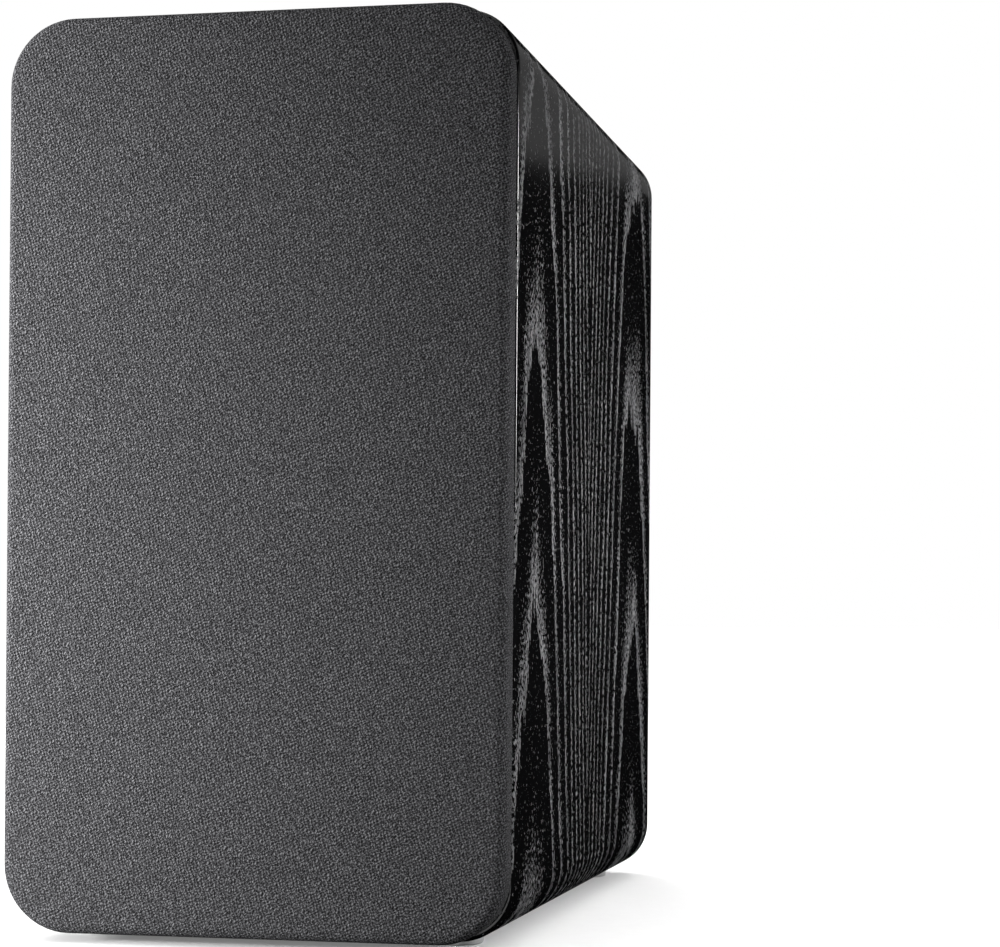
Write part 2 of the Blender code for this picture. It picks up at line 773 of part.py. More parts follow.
def terminal_cup():
    """A dished plate: flange against the rear panel, and a floor that carries the posts."""

    def opening(grow, radius):
        return rounded_rectangle(
            CUP_OPENING[0] + 2 * grow, CUP_OPENING[1] + 2 * grow, radius, CUP_Z, steps=3
        )

    flange = rounded_rectangle(*CUP_FLANGE, 6.0, CUP_Z, steps=3)
    under = REAR_Y + GAP
    face = under + CUP_FLANGE_THICKNESS
    loops = [
        (opening(-1.0, 4.0), CUP_FLOOR_Y),
        (opening(0, 5.0), face),
        (flange, face),
        (flange, under),
        (opening(CUP_WALL, 6.0), under),
        (opening(CUP_WALL - 1.0, 5.0), CUP_FLOOR_Y - CUP_FLOOR_THICKNESS),
    ]
    plastic = finish("cup_plastic", (0.018, 0.018, 0.018), 0.45)
    cup = add_object("terminal_cup", loft(loops), plastic)
    studs = [(side * POST_X, CUP_Z, STUD_HOLE_RADIUS) for side in (-1, 1)]
    cut(cup, round_holes(studs, CUP_FLOOR_Y - 5, CUP_FLOOR_Y + 2))
    screws_through = [(x, CUP_Z + z, PILOT_RADIUS) for x, z in CUP_SCREWS]
    cut(cup, round_holes(screws_through, under - 1, face + 1, SCREW_SIDES))
    return cup


def binding_post(colour_name, colour, x):
    """Stud with a collar, clamp washer, and a knob that screws along the stud."""
    axis = add_axis(f"{colour_name}_post_axis", (x, CUP_FLOOR_Y, CUP_Z))
    brass = finish(f"{colour_name}_post_metal", (0.7, 0.55, 0.25), 0.3, 1.0)
    stud = [
        (-9.6, 0.0),
        (-9.6, STUD_RADIUS),
        (GAP, STUD_RADIUS),
        (GAP, 5.5),
        (3.8, 5.5),
        (3.8, STUD_RADIUS),
        (17.0, STUD_RADIUS),
        (17.0, 0.0),
    ]
    post = add_object(f"{colour_name}_post", turned(stud, SMALL), brass, parent=axis)
    wire_hole = prism(circle(0.8, 8), -4.0, 4.0)
    bmesh.ops.rotate(wire_hole, cent=(0, 0, 0), matrix=UPRIGHT, verts=wire_hole.verts)
    bmesh.ops.translate(wire_hole, vec=(0, 9.5, 0), verts=wire_hole.verts)
    cut(post, wire_hole)
    washer = turned(ring_profile(4.3, 5.3, STUD_HOLE_RADIUS, 4.8), SMALL)
    add_object(f"{colour_name}_washer", washer, brass, parent=axis)
    bore = STUD_HOLE_RADIUS
    knob = [
        (5.8, bore),
        (5.8, 5.6),
        (7.6, 5.6),
        (7.6, 6.8),
        (18.0, 6.8),
        (19.0, 6.0),
        (19.0, 0.0),
        (17.5, 0.0),
        (17.5, bore),
    ]
    knob = knob[7:] + knob[:7]
    plastic = finish(f"{colour_name}_knob_plastic", colour, 0.35)
    grip = add_object(f"{colour_name}_knob", turned(knob, 16), plastic, parent=axis)
    grooves = round_holes([(gx, gz, 0.9) for gx, gz in on_circle(7.0, 8, 11.25)], 8.6, 20.0, 6)
    cut(grip, grooves)
    nut = turned(ring_profile(0.0, 3.0, STUD_HOLE_RADIUS, 4.1), 6)
    add_object(f"{colour_name}_nut", nut, brass, (0, BOARD_Y - GAP - 3.0 - CUP_FLOOR_Y, 0), axis)


def crossover():
    """The filter board on the back of the cup, held by the post nuts, and its three components."""
    width, height = BOARD_SIZE
    outline = rounded_rectangle(width, height, 2.0, CUP_Z, steps=2)
    green = finish("board_laminate", (0.05, 0.16, 0.06), 0.5)
    board = add_object("crossover_board", prism(outline, BOARD_Y, BOARD_FRONT_Y), green)
    studs = [(side * POST_X, CUP_Z, STUD_HOLE_RADIUS) for side in (-1, 1)]
    cut(board, round_holes(studs, BOARD_Y - 1, BOARD_FRONT_Y + 1))
    seat = BOARD_Y - GAP
    copper = finish("inductor_copper", (0.6, 0.25, 0.1), 0.4, 1.0)
    bobbin = [(seat - 12.0, 0.0), (seat - 12.0, 9.0), (seat - 10.6, 9.0), (seat - 10.6, 8.0)]
    bobbin += [(seat - 1.4, 8.0), (seat - 1.4, 9.0), (seat, 9.0), (seat, 0.0)]
    add_object("inductor", turned(bobbin, 16), copper, (-23.0, 0, CUP_Z))
    sleeve = finish("capacitor_sleeve", (0.03, 0.05, 0.12), 0.35)
    capacitor = turned([(0.0, 0.0), (0.0, 4.6), (25.0, 4.6), (25.0, 0.0)], 16)
    bmesh.ops.rotate(capacitor, cent=(0, 0, 0), matrix=UPRIGHT, verts=capacitor.verts)
    add_object("capacitor", capacitor, sleeve, (22.0, seat - 4.6, CUP_Z - 12.5))
    ceramic = finish("resistor_ceramic", (0.75, 0.73, 0.68), 0.7)
    body = fillet([(-10.0, 8.0), (10.0, 8.0), (10.0, 15.0), (-10.0, 15.0)], 0.8, steps=1)
    add_object("resistor", prism(body, seat - 6.5, seat), ceramic, (0, 0, CUP_Z))


WOOFER_LEAD_ROUTE = [
    (-14.0, 77.1, 70.0),
    (-14.0, 67.0, 69.0),
    (-15.0, 53.0, 82.0),
    (-12.0, 31.0, 108.0),
    (-8.0, 2.0, 136.0),
    (-4.0, -27.0, 154.0),
    (-1.0, -49.0, 158.5),
    (0.0, -60.5, 157.0),
]
TWEETER_LEAD_ROUTE = [
    (14.0, 77.1, 70.0),
    (14.0, 68.0, 69.0),
    (12.0, 58.0, 78.0),
    (18.0, 42.0, 108.0),
    (22.0, 18.0, 146.0),
    (20.0, -14.0, 184.0),
    (12.0, -44.0, 208.0),
    (5.0, -63.0, 214.5),
    (4.0, -73.7, 214.5),
]


def hook_up_leads():
    """Twin leads from the filter board to each driver."""
    sleeve = finish("lead_sleeve", (0.45, 0.03, 0.03), 0.5)
    lead("woofer_lead", WOOFER_LEAD_ROUTE, 1.4, sleeve)
    lead("tweeter_lead", TWEETER_LEAD_ROUTE, 1.4, sleeve)


# ---------------------------------------------------------------- assembly

def build():
    for old in list(bpy.data.objects):
        bpy.data.objects.remove(old)
    cabinet_shell()
    front_baffle()
    rear_panel()
    foam_lining()
    rubber_feet()
    grille_frame()
    grille_cloth()
    grille_sockets()
    woofer = add_axis("woofer_axis", (0, BAFFLE_Y, WOOFER_Z))
    woofer_basket(woofer)
    woofer_gasket(woofer)
    woofer_surround(woofer)
    woofer_cone(woofer)
    woofer_dust_cap(woofer)
    woofer_spider(woofer)
    woofer_voice_coil(woofer)
    woofer_motor(woofer)
    woofer_terminal_strip(woofer)
    tinsel_leads(woofer)
    screws("woofer_screw", [(x, WOOFER_Z + z) for x, z in WOOFER_SCREWS], BAFFLE_Y, 14.0)
    tweeter = add_axis("tweeter_axis", (0, BAFFLE_Y, TWEETER_Z))
    tweeter_faceplate(tweeter)
    tweeter_diaphragm(tweeter)
    tweeter_motor(tweeter)
    screws("tweeter_screw", [(x, TWEETER_Z + z) for x, z in TWEETER_SCREWS], BAFFLE_Y, 13.0)
    port_tube()
    terminal_cup()
    cup_face = REAR_Y + GAP + CUP_FLANGE_THICKNESS
    screws("terminal_screw", [(x, CUP_Z + z) for x, z in CUP_SCREWS], cup_face, 12.0, -1)
    binding_post("black", (0.02, 0.02, 0.02), -POST_X)
    binding_post("red", (0.5, 0.02, 0.02), POST_X)
    crossover()
    hook_up_leads()


build()
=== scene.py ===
"""A small two-way bookshelf loudspeaker, finished piece by piece in the order it goes together."""

import math

import bmesh
import bpy
import numpy as np
from mathutils import Matrix, Vector


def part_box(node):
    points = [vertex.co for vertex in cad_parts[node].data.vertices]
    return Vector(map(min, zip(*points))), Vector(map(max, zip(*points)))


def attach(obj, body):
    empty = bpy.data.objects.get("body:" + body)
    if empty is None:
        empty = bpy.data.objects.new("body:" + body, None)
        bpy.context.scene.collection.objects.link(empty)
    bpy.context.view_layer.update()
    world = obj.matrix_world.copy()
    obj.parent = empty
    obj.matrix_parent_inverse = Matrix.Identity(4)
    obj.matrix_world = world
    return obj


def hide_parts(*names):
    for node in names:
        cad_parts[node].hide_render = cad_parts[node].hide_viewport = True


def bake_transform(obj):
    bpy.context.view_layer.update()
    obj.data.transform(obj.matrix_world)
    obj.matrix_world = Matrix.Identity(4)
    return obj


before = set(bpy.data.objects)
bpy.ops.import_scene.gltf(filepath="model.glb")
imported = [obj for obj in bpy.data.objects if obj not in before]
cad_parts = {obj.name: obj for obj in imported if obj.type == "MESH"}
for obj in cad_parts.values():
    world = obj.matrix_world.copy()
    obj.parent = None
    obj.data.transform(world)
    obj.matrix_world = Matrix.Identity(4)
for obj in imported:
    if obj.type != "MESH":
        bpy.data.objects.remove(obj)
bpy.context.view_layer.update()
scene = bpy.context.scene
scene.view_settings.view_transform = "Standard"


# ---------------------------------------------------------------- camera
# A long lens on a tripod, right of the speaker and a third of the way up it. The back of the
# camera is level and nearly square to the grille, and the lens is shifted to frame the cabinet.

EYE = Vector((0.2306, -0.7034, 0.0952))
TURN, TILT, LEAN = -0.1744, 0.0070, -0.0068  # radians
ahead = Vector((math.sin(TURN) * math.cos(TILT), math.cos(TURN) * math.cos(TILT), math.sin(TILT)))
level = Vector((math.cos(TURN), -math.sin(TURN), 0))
down = ahead.cross(level)
rightward = level * math.cos(LEAN) + down * math.sin(LEAN)
downward = down * math.cos(LEAN) - level * math.sin(LEAN)
camera = bpy.data.objects.new("camera", bpy.data.cameras.new("camera"))
camera.data.sensor_width = 36
camera.data.lens = 78.6
camera.data.shift_x = -0.18
camera.data.shift_y = 0.1316
facing = Matrix((rightward, -downward, -ahead)).transposed()
camera.matrix_world = Matrix.Translation(EYE) @ facing.to_4x4()
scene.collection.objects.link(camera)
scene.camera = camera


# ---------------------------------------------------------------- cabinet walls
# One fibreboard panel, wrapped in black ash vinyl, grooved on the inside and folded round into a
# tube. The vinyl is turned in over both open ends. Its grain runs round the cabinet: up the sides
# and across the top, with one seam under the base.

MM = 0.001
WALL = 12.0
CABINET_RADIUS = 16.0
EASED_END = 1.0
HOLD = 1.5  # from each corner to the row of points that keeps a side's shading flat
HEART = 0.0735  # metres from the middle of the cabinet's depth to the heart of each printed trunk
FIRST_RING, RING_CLIMB = 0.0265, 0.083  # a ring's reach across from the heart, and up between arches
PORE_DEPTH = 0.00008


def box_mm(node_name):
    """A node's lowest and highest corners at rest, in millimetres."""
    return [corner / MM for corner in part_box(node_name)]


low, high = box_mm("cabinet_shell")
MIDDLE_Z = (low.z + high.z) / 2
HALF_WIDTH = (high.x - low.x) / 2
HALF_HEIGHT = (high.z - low.z) / 2
FRONT_END, REAR_END = low.y, high.y


def node(tree, kind, inputs=None, **settings):
    """A shader node. Its inputs are given by name or number, as values or as other nodes' outputs."""
    made = tree.nodes.new("ShaderNode" + kind)
    for setting, value in settings.items():
        setattr(made, setting, value)
    for socket, value in (inputs or {}).items():
        if isinstance(value, bpy.types.NodeSocket):
            tree.links.new(value, made.inputs[socket])
        else:
            made.inputs[socket].default_value = value
    return made


def maths(tree, operation, first, second=0.0):
    return node(tree, "Math", {0: first, 1: second}, operation=operation).outputs[0]


def noise(tree, place, size, detail=2.0, roughness=0.5):
    """Cloudy noise whose features are about as large as size, in metres: one number or three."""
    sizes = size if isinstance(size, tuple) else (size, size, size)
    scaled = node(tree, "Mapping", {"Vector": place, "Scale": [1 / s for s in sizes]}).outputs[0]
    inputs = {"Vector": scaled, "Scale": 1.0, "Detail": detail, "Roughness": roughness}
    return node(tree, "TexNoise", inputs).outputs["Fac"]


def ramp(tree, share, *stops):
    """Colours by share: each stop is (place, grey) or (place, (red, green, blue))."""
    made = node(tree, "ValToRGB", {"Fac": share})
    points = made.color_ramp.elements
    while len(points) < len(stops):
        points.new(0.5)
    for point, (place, colour) in zip(points, stops):
        colour = colour if isinstance(colour, tuple) else (colour, colour, colour)
        point.position = place
        point.color = (*colour, 1)
    return made.outputs["Color"]


def rise(tree, value, start, end):
    """0 before start, 1 after end, and smooth between them."""
    inputs = {"Value": value, "From Min": start, "From Max": end}
    return node(tree, "MapRange", inputs, interpolation_type="SMOOTHSTEP").outputs["Result"]


def new_finish(name, **gloss):
    """An empty material: its node tree and its shader, with the shader's own sockets set."""
    material = bpy.data.materials.new(name)
    material.use_nodes = True
    shader = material.node_tree.nodes["Principled BSDF"]
    for socket, value in gloss.items():
        shader.inputs[socket.replace("_", " ")].default_value = value
    return material, material.node_tree, shader


def wire(tree, shader, colour=None, roughness=None, height=None, depth=0.0):
    """Joins a finish's colour, roughness and relief to its shader. Depth is in metres."""
    if colour is not None:
        tree.links.new(colour, shader.inputs["Base Color"])
    if roughness is not None:
        tree.links.new(roughness, shader.inputs["Roughness"])
    if height is not None:
        bump = node(tree, "Bump", {"Height": height, "Distance": depth, "Strength": 1.0})
        tree.links.new(bump.outputs[0], shader.inputs["Normal"])


def moulded(name, colour, roughness, grain=0.0005, depth=0.00003, mottle=0.18, **gloss):
    """A plain material's finish: fine grain in its relief, and slow changes in colour and gloss."""
    material, tree, shader = new_finish(name, **gloss)
    place = node(tree, "TexCoord").outputs["Object"]
    fine = noise(tree, place, grain, 3.0)
    slow = noise(tree, place, 0.012, 3.0)
    both = maths(tree, "MULTIPLY_ADD", fine, 0.5)
    tree.links.new(maths(tree, "MULTIPLY", slow, 0.5), both.node.inputs[2])
    dark = tuple(c * (1 - mottle) for c in colour)
    light = tuple(min(c * (1 + mottle), 1.0) for c in colour)
    shades = ramp(tree, both, (0.3, dark), (0.7, light))
    dull = ramp(tree, slow, (0.25, roughness * 0.85), (0.75, min(roughness * 1.15, 1.0)))
    wire(tree, shader, shades, dull, fine, depth)
    return material


def black_ash_vinyl():
    """Printed and embossed ash grain: gloss black, with bands of short pale pores.

    The bands are the year rings of two trunks, each sawn nearly flat. Pores crowd together where a
    ring starts and thin out across it. Rings are wide and end in arches near a heart, and close and
    straight halfway between the two. The pores' pale print is lightened past its own tone to stand in
    for glints off the embossing: a painted highlight.
    """
    material, tree, shader = new_finish("black_ash_vinyl")
    wrap = node(tree, "Attribute", attribute_name="wrap").outputs["Vector"]
    apart = node(tree, "SeparateXYZ", {"Vector": wrap}).outputs
    off_heart = maths(tree, "SUBTRACT", maths(tree, "ABSOLUTE", apart["Y"]), HEART)
    rings_off = maths(tree, "ABSOLUTE", maths(tree, "DIVIDE", off_heart, FIRST_RING))
    rings_up = maths(tree, "DIVIDE", apart["X"], RING_CLIMB)
    year = maths(tree, "ADD", maths(tree, "POWER", rings_off, 2.0), rings_up)
    for size, amount in (((0.090, 0.016, 1.0), 0.85), ((0.016, 0.0016, 1.0), 0.30)):
        wander = maths(tree, "MULTIPLY", noise(tree, wrap, size, 2.0), amount)
        year = maths(tree, "ADD", year, wander)
    since_start = maths(tree, "FRACT", maths(tree, "ADD", year, 0.55))
    crowd = ramp(tree, since_start, (0.0, 0.10), (0.03, 1.0), (0.18, 0.72), (0.50, 0.12), (1.0, 0.10))
    flecks = noise(tree, wrap, (0.0015, 0.0009, 1.0), 2.0, 0.6)
    patches = noise(tree, wrap, (0.05, 0.006, 1.0), 2.0)
    pores = rise(tree, maths(tree, "ADD", flecks, maths(tree, "MULTIPLY", crowd, 0.25)), 0.66, 0.73)
    pale = maths(tree, "MULTIPLY", pores, ramp(tree, patches, (0.3, 0.55), (0.62, 1.0)))
    # The pale stops are the printed pores, lightened further to stand in for glints: a painted highlight.
    colour = ramp(tree, pale, (0.0, (0.0065, 0.0065, 0.007)), (0.5, (0.10, 0.10, 0.105)),
                  (1.0, (0.43, 0.43, 0.44)))
    dull = ramp(tree, pores, (0.0, 0.10), (1.0, 0.50))
    wire(tree, shader, colour, dull, maths(tree, "SUBTRACT", 1.0, pores), PORE_DEPTH)
    return material


def fibreboard():
    material, tree, shader = new_finish("bare_fibreboard")
    place = node(tree, "TexCoord").outputs["Object"]
    chips = noise(tree, place, 0.0009, 5.0, 0.7)
    wire(tree, shader, ramp(tree, chips, (0.3, (0.20, 0.12, 0.06)), (0.7, (0.42, 0.29, 0.17))),
         ramp(tree, chips, (0.2, 0.8), (0.8, 0.95)), chips, 0.00008)
    return material


def wall_line(inset, radius, corner_steps=16, side_steps=1, hold=0.0):
    """(x, z) points round the cabinet, from the middle of the base up the right side and back.

    A hold is the distance from each corner to an extra point that keeps the sides' shading flat.
    """
    half_x = HALF_WIDTH - inset
    half_z = HALF_HEIGHT - inset
    line = [(0.0, MIDDLE_Z - half_z)]
    for x_side, z_side, first in ((1, -1, -90), (1, 1, 0), (-1, 1, 90), (-1, -1, 180)):
        centre_x = x_side * (half_x - radius)
        centre_z = MIDDLE_Z + z_side * (half_z - radius)
        arc = []
        for step in range(corner_steps + 1):
            angle = math.radians(first + 90 * step / corner_steps)
            arc.append((centre_x + radius * math.cos(angle), centre_z + radius * math.sin(angle)))
        start = Vector(line[-1])
        for step in range(1, side_steps):
            line.append(tuple(start.lerp(Vector(arc[0]), step / side_steps)))
        if hold:
            across, up = -math.sin(math.radians(first)) * hold, math.cos(math.radians(first)) * hold
            arc.insert(0, (arc[0][0] - across, arc[0][1] - up))
            arc.append((arc[-1][0] - up, arc[-1][1] + across))
        line += arc
    return line


def join(bm, row, following):
    """A strip of faces between two closed rows of vertices, either of which may be one point."""
    count = max(len(row), len(following))
    for index in range(count if count > 1 else 0):
        after = (index + 1) % count
        corners = [row[index % len(row)], row[after % len(row)]]
        corners += [following[after % len(following)], following[index % len(following)]]
        bm.faces.new(dict.fromkeys(corners))


def lofted(loops, ring=False):
    """A skin through loops of (x, y, z) points in millimetres, closed by caps or into a ring."""
    bm = bmesh.new()
    rows = [[bm.verts.new(point) for point in loop] for loop in loops]
    for row, following in zip(rows, rows[1:] + (rows[:1] if ring else [])):
        join(bm, row, following)
    for row in () if ring else (rows[0], rows[-1]):
        if len(row) > 1:
            bm.faces.new(row)
    return bm


def at_depth(line, y):
    return [(x, y, z) for x, z in line]


def add_piece(name, bm, finish, stands_for, body="cabinet", sharp=35):
    """A piece from a bmesh in millimetres, with one finish or a list. It rides on the body, if any."""
    bmesh.ops.recalc_face_normals(bm, faces=bm.faces)
    bmesh.ops.scale(bm, vec=(MM, MM, MM), verts=bm.verts)
    mesh = bpy.data.meshes.new(name)
    bm.to_mesh(mesh)
    bm.free()
    mesh.shade_smooth()
    mesh.set_sharp_from_angle(angle=math.radians(sharp))
    for material in finish if isinstance(finish, list) else [finish]:
        mesh.materials.append(material)
    piece = bpy.data.objects.new(name, mesh)
    scene.collection.objects.link(piece)
    if body:
        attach(piece, body)
    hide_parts(stands_for)
    return piece


end_steps = 4
rounded_end = []
for step in range(end_steps + 1):
    angle = math.pi / 2 * step / end_steps
    rounded_end.append((EASED_END * (1 - math.sin(angle)), EASED_END * (1 - math.cos(angle))))
front_half = [(WALL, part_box("front_baffle")[0].y / MM - FRONT_END), (WALL, 0.0), (EASED_END + 0.8, 0.0)]
front_half += rounded_end + [(0.0, EASED_END + 1.2)]
rear_half = [(WALL, REAR_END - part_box("rear_panel")[1].y / MM)] + front_half[1:]
profile = [(inset, FRONT_END + depth) for inset, depth in front_half]
profile += [(inset, REAR_END - depth) for inset, depth in reversed(rear_half)]
loops = [at_depth(wall_line(inset, CABINET_RADIUS - inset, hold=HOLD), y) for inset, y in profile]
walls = lofted(loops, ring=True)

outline = [Vector(point) for point in wall_line(0, CABINET_RADIUS, hold=HOLD)]
travelled = [0.0]
for here, after in zip(outline, outline[1:] + outline[:1]):
    travelled.append(travelled[-1] + (after - here).length * MM)
over_the_end = [0.0]
for here, after in zip(profile, profile[1:]):
    over_the_end.append(over_the_end[-1] + math.hypot(after[0] - here[0], after[1] - here[1]) * MM)
on_the_side = len(front_half) - 1
shift = profile[on_the_side][1] * MM - over_the_end[on_the_side]
wrap_layer = walls.loops.layers.float_vector.new("wrap")
walls.verts.ensure_lookup_table()
walls.verts.index_update()
for face in walls.faces:
    rows = [corner.vert.index // len(outline) for corner in face.loops]
    columns = [corner.vert.index % len(outline) for corner in face.loops]
    crosses_seam = max(columns) - min(columns) > 1
    for corner, row, column in zip(face.loops, rows, columns):
        turns = len(outline) if crosses_seam and column == 0 else 0
        corner[wrap_layer] = (travelled[column + turns], over_the_end[row] + shift, 0)
    if set(rows) == {0, len(profile) - 1}:
        face.material_index = 1
vinyl = black_ash_vinyl()
add_piece("folded_cabinet", walls, [vinyl, fibreboard()], "cabinet_shell")


# ---------------------------------------------------------------- front baffle
# A fibreboard panel foiled in matt black, glued into the front of the tube. It is routed for both
# drivers, drilled for their screws, and counterbored for the four cups that hold the grille.

GAP = 0.3
WOOFER_RADIUS, WOOFER_HOLE, WOOFER_REBATE = 55.0, 47.0, 5.0
TWEETER_RADIUS, TWEETER_HOLE, TWEETER_REBATE = 34.0, 26.5, 3.6
WOOFER_SCREW_CIRCLE, TWEETER_SCREW_CIRCLE = 51.8, 30.5
CUP_BORE, CUP_COUNTERBORE, CUP_SINK = 5.1, 6.3, 1.5
PILOT = 1.9
low, high = box_mm("front_baffle")
BAFFLE_FACE, BAFFLE_BACK = low.y, high.y
BAFFLE_INSET = WALL + GAP
woofer_low, woofer_high = box_mm("woofer_gasket")
WOOFER = Vector((0, BAFFLE_FACE, (woofer_low.z + woofer_high.z) / 2))
tweeter_low, tweeter_high = box_mm("tweeter_faceplate")
tweeter_size = tweeter_high.x - tweeter_low.x
TWEETER = Vector((0, BAFFLE_FACE, tweeter_high.z - tweeter_size / 2))


def middle(node_name):
    lowest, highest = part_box(node_name)
    return (lowest + highest) / 2 / MM


def eased(corners, steps=4):
    """A closed outline of (across, up, rounding) corners, each rounding turned into an arc."""
    line = []
    for index, (across, up, radius) in enumerate(corners):
        here = Vector((across, up))
        if radius == 0:
            line.append(here)
            continue
        before = (Vector(corners[index - 1][:2]) - here).normalized()
        after = (Vector(corners[(index + 1) % len(corners)][:2]) - here).normalized()
        half = before.angle(after) / 2
        centre = here + (before + after).normalized() * radius / math.sin(half)
        start = here + before * radius / math.tan(half) - centre
        end = here + after * radius / math.tan(half) - centre
        first = math.atan2(start.y, start.x)
        turn = math.remainder(math.atan2(end.y, end.x) - first, math.tau)
        for step in range(steps + 1):
            angle = first + turn * step / steps
            line.append(centre + Vector((math.cos(angle), math.sin(angle))) * radius)
    return line


def spoke(centre, radius, depth, angle):
    """The point that far out from a line along Y through the centre, and that deep along it."""
    return centre + Vector((radius * math.cos(angle), depth, radius * math.sin(angle)))


def turned(corners, centre, sides=96, steps=4):
    """Turned on a lathe about a line along Y. Corners are (depth, radius, rounding) from the centre."""
    loops = []
    for depth, radius in eased(corners, steps):
        angles = [math.tau * side / sides for side in range(sides if radius > 1e-6 else 1)]
        loops.append([spoke(centre, radius, depth, angle) for angle in angles])
    return lofted(loops, ring=True)


def bar(x, z, radius, start, end, sides=48):
    """A round cutter along Y."""
    corners = [(start, 0, 0), (start, radius, 0), (end, radius, 0), (end, 0, 0)]
    return turned(corners, Vector((x, 0, z)), sides)


def as_object(bm):
    bmesh.ops.recalc_face_normals(bm, faces=bm.faces)
    mesh = bpy.data.meshes.new("work")
    bm.to_mesh(mesh)
    bm.free()
    made = bpy.data.objects.new("work", mesh)
    scene.collection.objects.link(made)
    return made


def carved(bm, cutters):
    """The shape with each cutter's shape taken out of it."""
    work = as_object(bm)
    tools = [as_object(cutter) for cutter in cutters]
    for tool in tools:
        cut = work.modifiers.new("cut", "BOOLEAN")
        cut.object = tool
    solid = work.evaluated_get(bpy.context.evaluated_depsgraph_get())
    result = bmesh.new()
    result.from_mesh(solid.to_mesh())
    solid.to_mesh_clear()
    for used in (work, *tools):
        bpy.data.meshes.remove(used.data)
    return result


def board_blank(start, end, edge=0.6):
    """A panel that fits inside the tube, with its sharp edges just taken off."""
    radius = CABINET_RADIUS - BAFFLE_INSET
    plan = ((start, edge), (start + edge, 0), (end - edge, 0), (end, edge))
    return lofted([at_depth(wall_line(BAFFLE_INSET + t, radius - t), depth) for depth, t in plan])


def pilot_holes(places, start, end):
    return [bar(x, z, PILOT, start, end, 16) for x, z in places]


def on_circle(centre, radius, count, first_degrees):
    angles = [math.radians(first_degrees + 360 / count * index) for index in range(count)]
    return [(centre.x + radius * math.cos(a), centre.z + radius * math.sin(a)) for a in angles]


woofer_screws = on_circle(WOOFER, WOOFER_SCREW_CIRCLE, 4, 45)
tweeter_screws = on_circle(TWEETER, TWEETER_SCREW_CIRCLE, 3, 90)
sockets = [middle(f"grille_socket_{number}") for number in range(1, 5)]
over, under = BAFFLE_FACE - 1, BAFFLE_BACK + 1
holes = [bar(0, WOOFER.z, WOOFER_HOLE, over, under, 96), bar(0, TWEETER.z, TWEETER_HOLE, over, under, 96)]
holes += [bar(0, WOOFER.z, WOOFER_RADIUS + GAP, over, BAFFLE_FACE + WOOFER_REBATE, 128)]
holes += [bar(0, TWEETER.z, TWEETER_RADIUS + GAP, over, BAFFLE_FACE + TWEETER_REBATE, 128)]
for socket in sockets:
    holes.append(bar(socket.x, socket.z, CUP_BORE, over, under))
    holes.append(bar(socket.x, socket.z, CUP_COUNTERBORE, over, BAFFLE_FACE + CUP_SINK))
holes += pilot_holes(woofer_screws + tweeter_screws, over, under)
black_foil = moulded("matt_black_foil", (0.016, 0.016, 0.017), 0.58, grain=0.0007, depth=0.00005)
baffle = carved(board_blank(BAFFLE_FACE, BAFFLE_BACK), holes)
add_piece("routed_baffle", baffle, black_foil, "front_baffle")


# ---------------------------------------------------------------- back board
# The same board as the baffle, recessed a few millimetres into the rear of the tube. It has a
# round hole for the port, an opening with round corners for the terminal cup, and pilot holes.

low, high = box_mm("rear_panel")
BACK_FACE = high.y
PORT = middle("port_tube")
PORT_BORE, PORT_NECK, PORT_MOUTH, PORT_FLANGE = 17.0, 21.6, 24.0, 27.0
CUP = middle("terminal_cup")
CUP_FLANGE, CUP_OPENING = (96.0, 64.0), (68.0, 38.0)
CUP_SCREW = (42.0, 26.0)


def plate_line(size, radius, centre, steps=6):
    """(x, z) points of a plate with round corners."""
    half_x, half_z = size[0] / 2, size[1] / 2
    corners = [(-half_x, -half_z), (half_x, -half_z), (half_x, half_z), (-half_x, half_z)]
    outline = eased([(x, z, radius) for x, z in corners], steps)
    return [(centre.x + x, centre.z + z) for x, z in outline]


cup_screws = [(CUP.x + x * CUP_SCREW[0], CUP.z + z * CUP_SCREW[1]) for z in (-1, 1) for x in (-1, 1)]
over, under = low.y - 1, high.y + 1
cup_hole = plate_line((CUP_OPENING[0] + 6, CUP_OPENING[1] + 6), 6.0, CUP)
holes = [bar(0, PORT.z, PORT_NECK + GAP, over, under, 96)]
holes += [lofted([at_depth(cup_hole, over), at_depth(cup_hole, under)])]
holes += pilot_holes(cup_screws, over, under)
back_board = carved(board_blank(low.y, high.y), holes)
back_foil = moulded("black_back_foil", (0.020, 0.020, 0.021), 0.5, grain=0.0010, depth=0.00007)
add_piece("recessed_back_board", back_board, back_foil, "rear_panel")


# ---------------------------------------------------------------- damping foam
# A strip of open-cell foam, cut with a wavy face and pressed in round the top and both sides. It
# is only stuck at its ends, and soaks up the sound inside the box.

FOAM_THICKNESS, FOAM_WAVE = 8.0, 24.0
low, high = box_mm("foam_lining")
foam_edges = [(low.x, low.z, 0), (low.x, high.z, 4.0), (high.x, high.z, 4.0), (high.x, low.z, 0)]
foam_line = eased(foam_edges, 6)


def spaced(line, spacing):
    """Points along an open line, evenly spaced, with the line's direction at each."""
    lengths = [(b - a).length for a, b in zip(line, line[1:])]
    count = round(sum(lengths) / spacing)
    points = []
    for index in range(count + 1):
        left = sum(lengths) * index / count
        piece = 0
        while piece < len(lengths) - 1 and left > lengths[piece]:
            left -= lengths[piece]
            piece += 1
        start, end = line[piece], line[piece + 1]
        points.append((start.lerp(end, min(left / lengths[piece], 1.0)), (end - start).normalized()))
    return points


